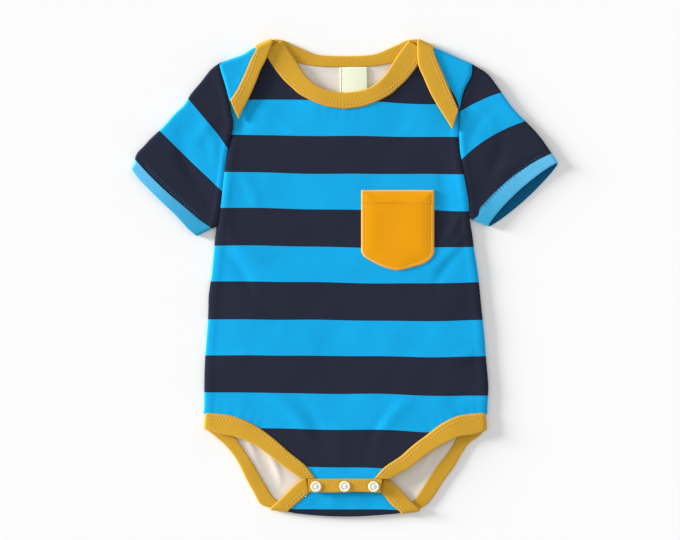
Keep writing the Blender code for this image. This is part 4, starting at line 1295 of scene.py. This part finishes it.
def striped_jersey(tree, colours):
    """Navy and blue stripes. The mask is 1 inside a hem, where the blue gets painted shade as a dark
    teal, and below 0 on a hem's face, where it gets painted shade as a darker blue at -0.5 and painted
    light as a paler blue at -1.
    """
    knit, down, mask = knitted(tree)
    mottle = use_group(tree, "Cloth mottle", Amount=0.16)
    half = maths(tree, 'FRACT', maths(tree, 'MULTIPLY', down, 0.5))
    rise = mapped(tree, half, *TO_NAVY, 0.0, 1.0)
    start = mapped(tree, half, 0.0, NAVY_END, 1.0, 0.0)
    start = maths(tree, 'MULTIPLY', start, maths(tree, 'LESS_THAN', half, NAVY_END))
    navy = maths(tree, 'MAXIMUM', rise, start)
    colour = mixed(tree, navy, colours.blue, colours.navy)
    # painted shade: inside a hem the colour is turned most of the way to a dark teal that stands for the
    # shadow in the cuff
    colour = mixed(tree, mapped(tree, mask, 0.0, 1.0, 0.0, 0.9), colour, colours.hem_inside_painted_shade)
    # painted light and shade on a hem's face, in the blue stripes only: a darker blue, turned to a paler
    # one where the mask nears -1
    hem = mapped(tree, mask, -0.5, 0.0, 0.6, 0.0)
    hem = maths(tree, 'MULTIPLY', hem, maths(tree, 'SUBTRACT', 1.0, navy))
    face = mixed(tree, mapped(tree, mask, -1.0, -0.5, 1.0, 0.0), colours.hem, colours.hem_painted_light)
    colour = shaded(tree, mixed(tree, hem, colour, face), mottle["Shade"], knit["Shade"])
    height = maths(tree, 'MULTIPLY_ADD', mottle["Height"], 0.8, knit["Height"])
    finish_shader(tree, colour, height, 0.12, 0.35)


def inside_jersey(tree, colours):
    """The pale wrong side of the jersey, with rows of loops across its columns."""
    across, down, _ = cloth_axes(tree)
    mottle = use_group(tree, "Cloth mottle", Amount=0.10)
    pitch = bpy.context.scene.romper_cloth.stripe_pitch / MM
    loops = maths(tree, 'SINE', maths(tree, 'MULTIPLY', down, 2 * math.pi * pitch / KNIT_ROW))
    streaks = maths(tree, 'SINE', maths(tree, 'MULTIPLY', across, 2 * math.pi / KNIT_COLUMN))
    height = maths(tree, 'MULTIPLY_ADD', streaks, 0.3, maths(tree, 'MULTIPLY', loops, 0.5))
    finish_shader(tree, shaded(tree, colours.inside, mottle["Shade"]), height, 0.08, 0.3)


def mustard_rib(tree, colours):
    """Rib with painted light along its outer fold, which is made a little lighter."""
    along, across, mask = cloth_axes(tree)
    rib = use_group(tree, "Rib face", Along_mm=along, Across_mm=across)
    mottle = use_group(tree, "Cloth mottle", Amount=0.14)
    # painted light: the outer fold is turned half the mask's way to a lighter mustard
    colour = mixed(tree, maths(tree, 'MULTIPLY', mask, 0.5), colours.rib, colours.rib_fold_painted_light)
    finish_shader(tree, shaded(tree, colour, rib["Shade"], mottle["Shade"]), rib["Height"], 0.22, 0.45)


def mustard_jersey(tree, colours):
    """The pocket's knit, with painted light along its turned edge, which is made lighter."""
    knit, _, mask = knitted(tree)
    mottle = use_group(tree, "Cloth mottle", Amount=0.10)
    # painted light: the turned edge is turned towards a lighter mustard
    colour = mixed(tree, mapped(tree, mask, 0.1, 0.6, 0.0, 0.55), colours.pocket, colours.pocket_edge_painted_light)
    finish_shader(tree, shaded(tree, colour, mottle["Shade"], knit["Shade"]), knit["Height"], 0.12, 0.35)


def label_tape(tree, colours):
    """Smooth tape with a darker line beside each woven edge."""
    _, _, mask = cloth_axes(tree)
    mottle = use_group(tree, "Cloth mottle", Amount=0.04)
    colour = mixed(tree, maths(tree, 'MULTIPLY', mask, 0.5), colours.label, LABEL_LINE)
    finish_shader(tree, shaded(tree, colour, mottle["Shade"]), noise(tree, 3200.0, 1.0), 0.05, 0.3)


def moulded_white(tree, colours):
    """Smooth cream-white plastic."""
    mottle = use_group(tree, "Cloth mottle", Amount=0.03)
    finish_shader(tree, shaded(tree, colours.snap, mottle["Shade"]))


def thread(name):
    """Builder of a twisted thread in one of the colours."""
    def build(tree, colours):
        twist = noise(tree, 2600.0, 1.0)
        colour = shaded(tree, getattr(colours, name), mapped(tree, twist, 0.3, 0.7, 0.85, 1.1))
        finish_shader(tree, colour, twist, 0.08, 0.4)
    return build


# Each material: its builder, roughness and sheen
MATERIALS = {
    "jersey_striped": (striped_jersey, 0.95, 0.03),
    "jersey_inside": (inside_jersey, 0.95, 0.10),
    "rib_mustard": (mustard_rib, 0.90, 0.04),
    "jersey_mustard": (mustard_jersey, 0.90, 0.03),
    "label_cream": (label_tape, 0.62, 0.0),
    "snap_white": (moulded_white, 0.34, 0.0),
    "thread_blue": (thread("thread_blue"), 0.7, 0.0),
    "thread_mustard": (thread("thread_mustard"), 0.7, 0.0),
    "thread_light": (thread("thread_light"), 0.7, 0.0),
    "thread_dark": (thread("thread_dark"), 0.8, 0.0),
}


def material(name):
    """The named finish, made on first use."""
    finish = name + "_finish"
    found = bpy.data.materials.get(finish)
    if found:
        return found
    build, roughness, sheen = MATERIALS[name]
    made = bpy.data.materials.new(finish)
    made.use_nodes = True
    shader = made.node_tree.nodes["Principled BSDF"]
    shader.inputs['Roughness'].default_value = roughness
    shader.inputs['Sheen Weight'].default_value = sheen
    shader.inputs['Specular IOR Level'].default_value = 0.12 if sheen else 0.5
    build(made.node_tree, bpy.context.scene.romper_colours)
    return made


# ---------------------------------------------------------------- settings

def length(name, description, default):
    """A setting that is a length."""
    return FloatProperty(name=name, description=description, default=default, unit='LENGTH',
                         subtype='DISTANCE', min=0.0, precision=5)


def colour(name, description, default):
    """A setting that is an opaque colour."""
    return FloatVectorProperty(name=name, description=description, default=(*default, 1.0), size=4,
                               subtype='COLOR', min=0.0, max=1.0)


class RomperCloth(bpy.types.PropertyGroup):
    """Sizes of the cloth"""
    stripe_pitch: length("Stripe width", "Mean width of a stripe", 0.03115)
    first_stripe: length("First edge", "Height up the body of the top edge of the chest's blue stripe",
                         0.1522)
    jersey_wall: length("Jersey", "Thickness of the striped jersey", 0.0007)
    rib_wall: length("Rib", "Thickness of one layer of rib", 0.0006)
    binding_wall: length("Binding", "Thickness of a folded binding with the cloth inside it", 0.002)
    pocket_wall: length("Pocket", "Thickness of the pocket with its turned edge", 0.001)


class RomperColours(bpy.types.PropertyGroup):
    """Colours of the cloth and trims"""
    blue: colour("Blue", "Light stripes", (0.0045, 0.40, 0.80))
    navy: colour("Navy", "Dark stripes", (0.0175, 0.0215, 0.041))
    # painted shade: the dark teal stands for the shadow inside the sleeve hems
    hem_inside_painted_shade: colour("Hem inside", "Inside of the sleeve hems", (0.004, 0.07, 0.16))
    # painted shade: a darker blue laid over the hems' face
    hem: colour("Hem", "Face of the sleeve hems", (0.05, 0.35, 0.52))
    # painted light: a paler blue laid over the hems' face, most at the cuff's tip
    hem_painted_light: colour("Pale hem", "Face of a sleeve hem that is paler than the other", (0.215, 0.64, 0.95))
    inside: colour("Inside", "Back of the jersey", (0.80, 0.74, 0.66))
    rib: colour("Rib", "Folded bindings", (0.64, 0.355, 0.030))
    # painted light: a lighter mustard along the bindings' outer fold
    rib_fold_painted_light: colour("Rib fold", "Outer fold of the bindings", (0.71, 0.43, 0.07))
    pocket: colour("Pocket", "Pocket jersey", (0.85, 0.35, 0.002))
    # painted light: a lighter mustard along the pocket's turned edge
    pocket_edge_painted_light: colour("Pocket edge", "Turned and stitched edge of the pocket", (0.86, 0.50, 0.13))
    label: colour("Label", "Bare neck label", (0.86, 0.90, 0.68))
    snap: colour("Snaps", "Moulded snaps", (0.86, 0.83, 0.68))
    thread_blue: colour("Blue thread", "Hem stitches", (0.006, 0.09, 0.20))
    thread_mustard: colour("Mustard thread", "Pocket stitches", (0.80, 0.42, 0.06))
    thread_light: colour("Light thread", "Binding stitches", (0.78, 0.50, 0.14))
    thread_dark: colour("Dark thread", "Label stitches", (0.10, 0.10, 0.08))


class RomperStage(bpy.types.PropertyGroup):
    """Light and floor"""
    sky: FloatProperty(name="Sky", description="Strength of the even light from all round",
                       default=0.66, min=0.0)
    key: FloatProperty(name="Key", description="Strength of the soft light from the upper left",
                       default=5.9, min=0.0)
    key_softness: FloatProperty(name="Softness", description="Width in the sky of the light's source",
                                default=0.26, min=0.0, max=3.0, unit='ROTATION', subtype='ANGLE')
    camera_height: FloatProperty(name="Camera height", description="Height of the camera over the floor",
                                 default=2.0, min=0.1, unit='LENGTH')


def sizes():
    """The cloth's sizes in millimetres."""
    group = bpy.context.scene.romper_cloth
    return SimpleNamespace(pitch=group.stripe_pitch / MM, first=group.first_stripe / MM,
                           jersey=group.jersey_wall / MM, rib=group.rib_wall / MM,
                           binding=group.binding_wall / MM, pocket=group.pocket_wall / MM)


# ---------------------------------------------------------------- operators


class Builder:
    """What the operators that build the garment share"""
    bl_options = {'REGISTER', 'UNDO'}

    def execute(self, context):
        self.build(sizes())
        return {'FINISHED'}


class BuildPanels(Builder, bpy.types.Operator):
    """Build the striped front and the striped back with its laps and flap"""
    bl_idname = "romper.build_panels"
    bl_label = "Panels"

    def build(self, settings):
        front, back = build_front(settings), build_back(settings)


class BuildSleeves(Builder, bpy.types.Operator):
    """Build both striped sleeves with their turned hems and stitches"""
    bl_idname = "romper.build_sleeves"
    bl_label = "Sleeves"

    def build(self, settings):
        for name in SLEEVES:
            build_sleeve(name, settings)


class BuildBindings(Builder, bpy.types.Operator):
    """Build the rib bindings of the legs and of the neck with their stitches"""
    bl_idname = "romper.build_bindings"
    bl_label = "Bindings"

    def build(self, settings):
        build_bindings(settings)


class BuildPocket(Builder, bpy.types.Operator):
    """Build the chest pocket with its turned edge, hem and stitches"""
    bl_idname = "romper.build_pocket"
    bl_label = "Pocket"

    def build(self, settings):
        build_pocket(settings)


class BuildLabel(Builder, bpy.types.Operator):
    """Build the bare label inside the back of the neck"""
    bl_idname = "romper.build_label"
    bl_label = "Label"

    def build(self, settings):
        build_label()


class BuildCrotch(Builder, bpy.types.Operator):
    """Build the two plackets at the crotch and the snaps on them"""
    bl_idname = "romper.build_crotch"
    bl_label = "Plackets and snaps"

    def build(self, settings):
        build_plackets(settings)
        build_snaps()


class BuildStage(bpy.types.Operator):
    """Set the white floor, the light from the upper left and the camera straight above"""
    bl_idname = "romper.build_stage"
    bl_label = "Stage"
    bl_options = {'REGISTER', 'UNDO'}

    def execute(self, context):
        scene = context.scene
        stage = scene.romper_stage
        scene.view_settings.view_transform = 'Standard'
        world = bpy.data.worlds.new("Even light")
        world.use_nodes = True
        background = world.node_tree.nodes["Background"]
        background.inputs['Color'].default_value = (1.0, 1.0, 1.0, 1.0)
        background.inputs['Strength'].default_value = stage.sky
        scene.world = world

        half = FLOOR_WIDTH / 2
        mesh = bpy.data.meshes.new("floor")
        mesh.from_pydata([(-half, -half, 0), (half, -half, 0), (half, half, 0), (-half, half, 0)], [],
                         [(0, 1, 2, 3)])
        floor = bpy.data.objects.new("floor", mesh)
        paper = bpy.data.materials.new("floor_white")
        paper.use_nodes = True
        shader = paper.node_tree.nodes["Principled BSDF"]
        shader.inputs['Base Color'].default_value = (FLOOR_WHITE, FLOOR_WHITE, FLOOR_WHITE, 1.0)
        shader.inputs['Roughness'].default_value = 0.9
        shader.inputs['Specular IOR Level'].default_value = 0.0
        mesh.materials.append(paper)
        scene.collection.objects.link(floor)

        lamp = bpy.data.lights.new("key", 'SUN')
        lamp.angle = stage.key_softness
        lamp.energy = stage.key
        key = bpy.data.objects.new("key", lamp)
        key.location = KEY_FROM
        key.rotation_euler = (-key.location).to_track_quat('-Z', 'Y').to_euler()
        scene.collection.objects.link(key)

        camera_data = bpy.data.cameras.new("above")
        camera = bpy.data.objects.new("above", camera_data)
        camera.location = (CAMERA_AIM[0] * MM, CAMERA_AIM[1] * MM, stage.camera_height)
        camera_data.sensor_width = SENSOR_MM
        camera_data.lens = SENSOR_MM * (stage.camera_height - FRONT_EDGE_Z * MM) / (VIEW_WIDTH * MM)
        camera_data.dof.use_dof = False
        scene.collection.objects.link(camera)
        scene.camera = camera
        return {'FINISHED'}


class RomperPanel(bpy.types.Panel):
    """The builder's buttons and settings in the sidebar"""
    bl_label = "Baby Romper"
    bl_idname = "VIEW3D_PT_romper"
    bl_space_type = 'VIEW_3D'
    bl_region_type = 'UI'
    bl_category = "Romper"

    def draw(self, context):
        for operator in BUILDERS:
            self.layout.operator(operator.bl_idname)
        for group in (getattr(context.scene, name) for name in GROUPS):
            box = self.layout.box()
            for name in group.bl_rna.properties.keys():
                if name not in {"rna_type", "name"}:
                    box.prop(group, name)


BUILDERS = (BuildPanels, BuildSleeves, BuildBindings, BuildPocket, BuildLabel, BuildCrotch, BuildStage)
GROUPS = {"romper_cloth": RomperCloth, "romper_colours": RomperColours, "romper_stage": RomperStage}
CLASSES = (*GROUPS.values(), *BUILDERS, RomperPanel)


def register():
    for kind in CLASSES:
        bpy.utils.register_class(kind)
    for name, kind in GROUPS.items():
        setattr(bpy.types.Scene, name, PointerProperty(type=kind))


def unregister():
    for name in GROUPS:
        delattr(bpy.types.Scene, name)
    for kind in reversed(CLASSES):
        bpy.utils.unregister_class(kind)


def main():
    register()
    bpy.ops.romper.build_panels()
    bpy.ops.romper.build_sleeves()
    bpy.ops.romper.build_bindings()
    bpy.ops.romper.build_pocket()
    bpy.ops.romper.build_label()
    bpy.ops.romper.build_crotch()
    bpy.ops.romper.build_stage()


if __name__ == "__main__":
    main()
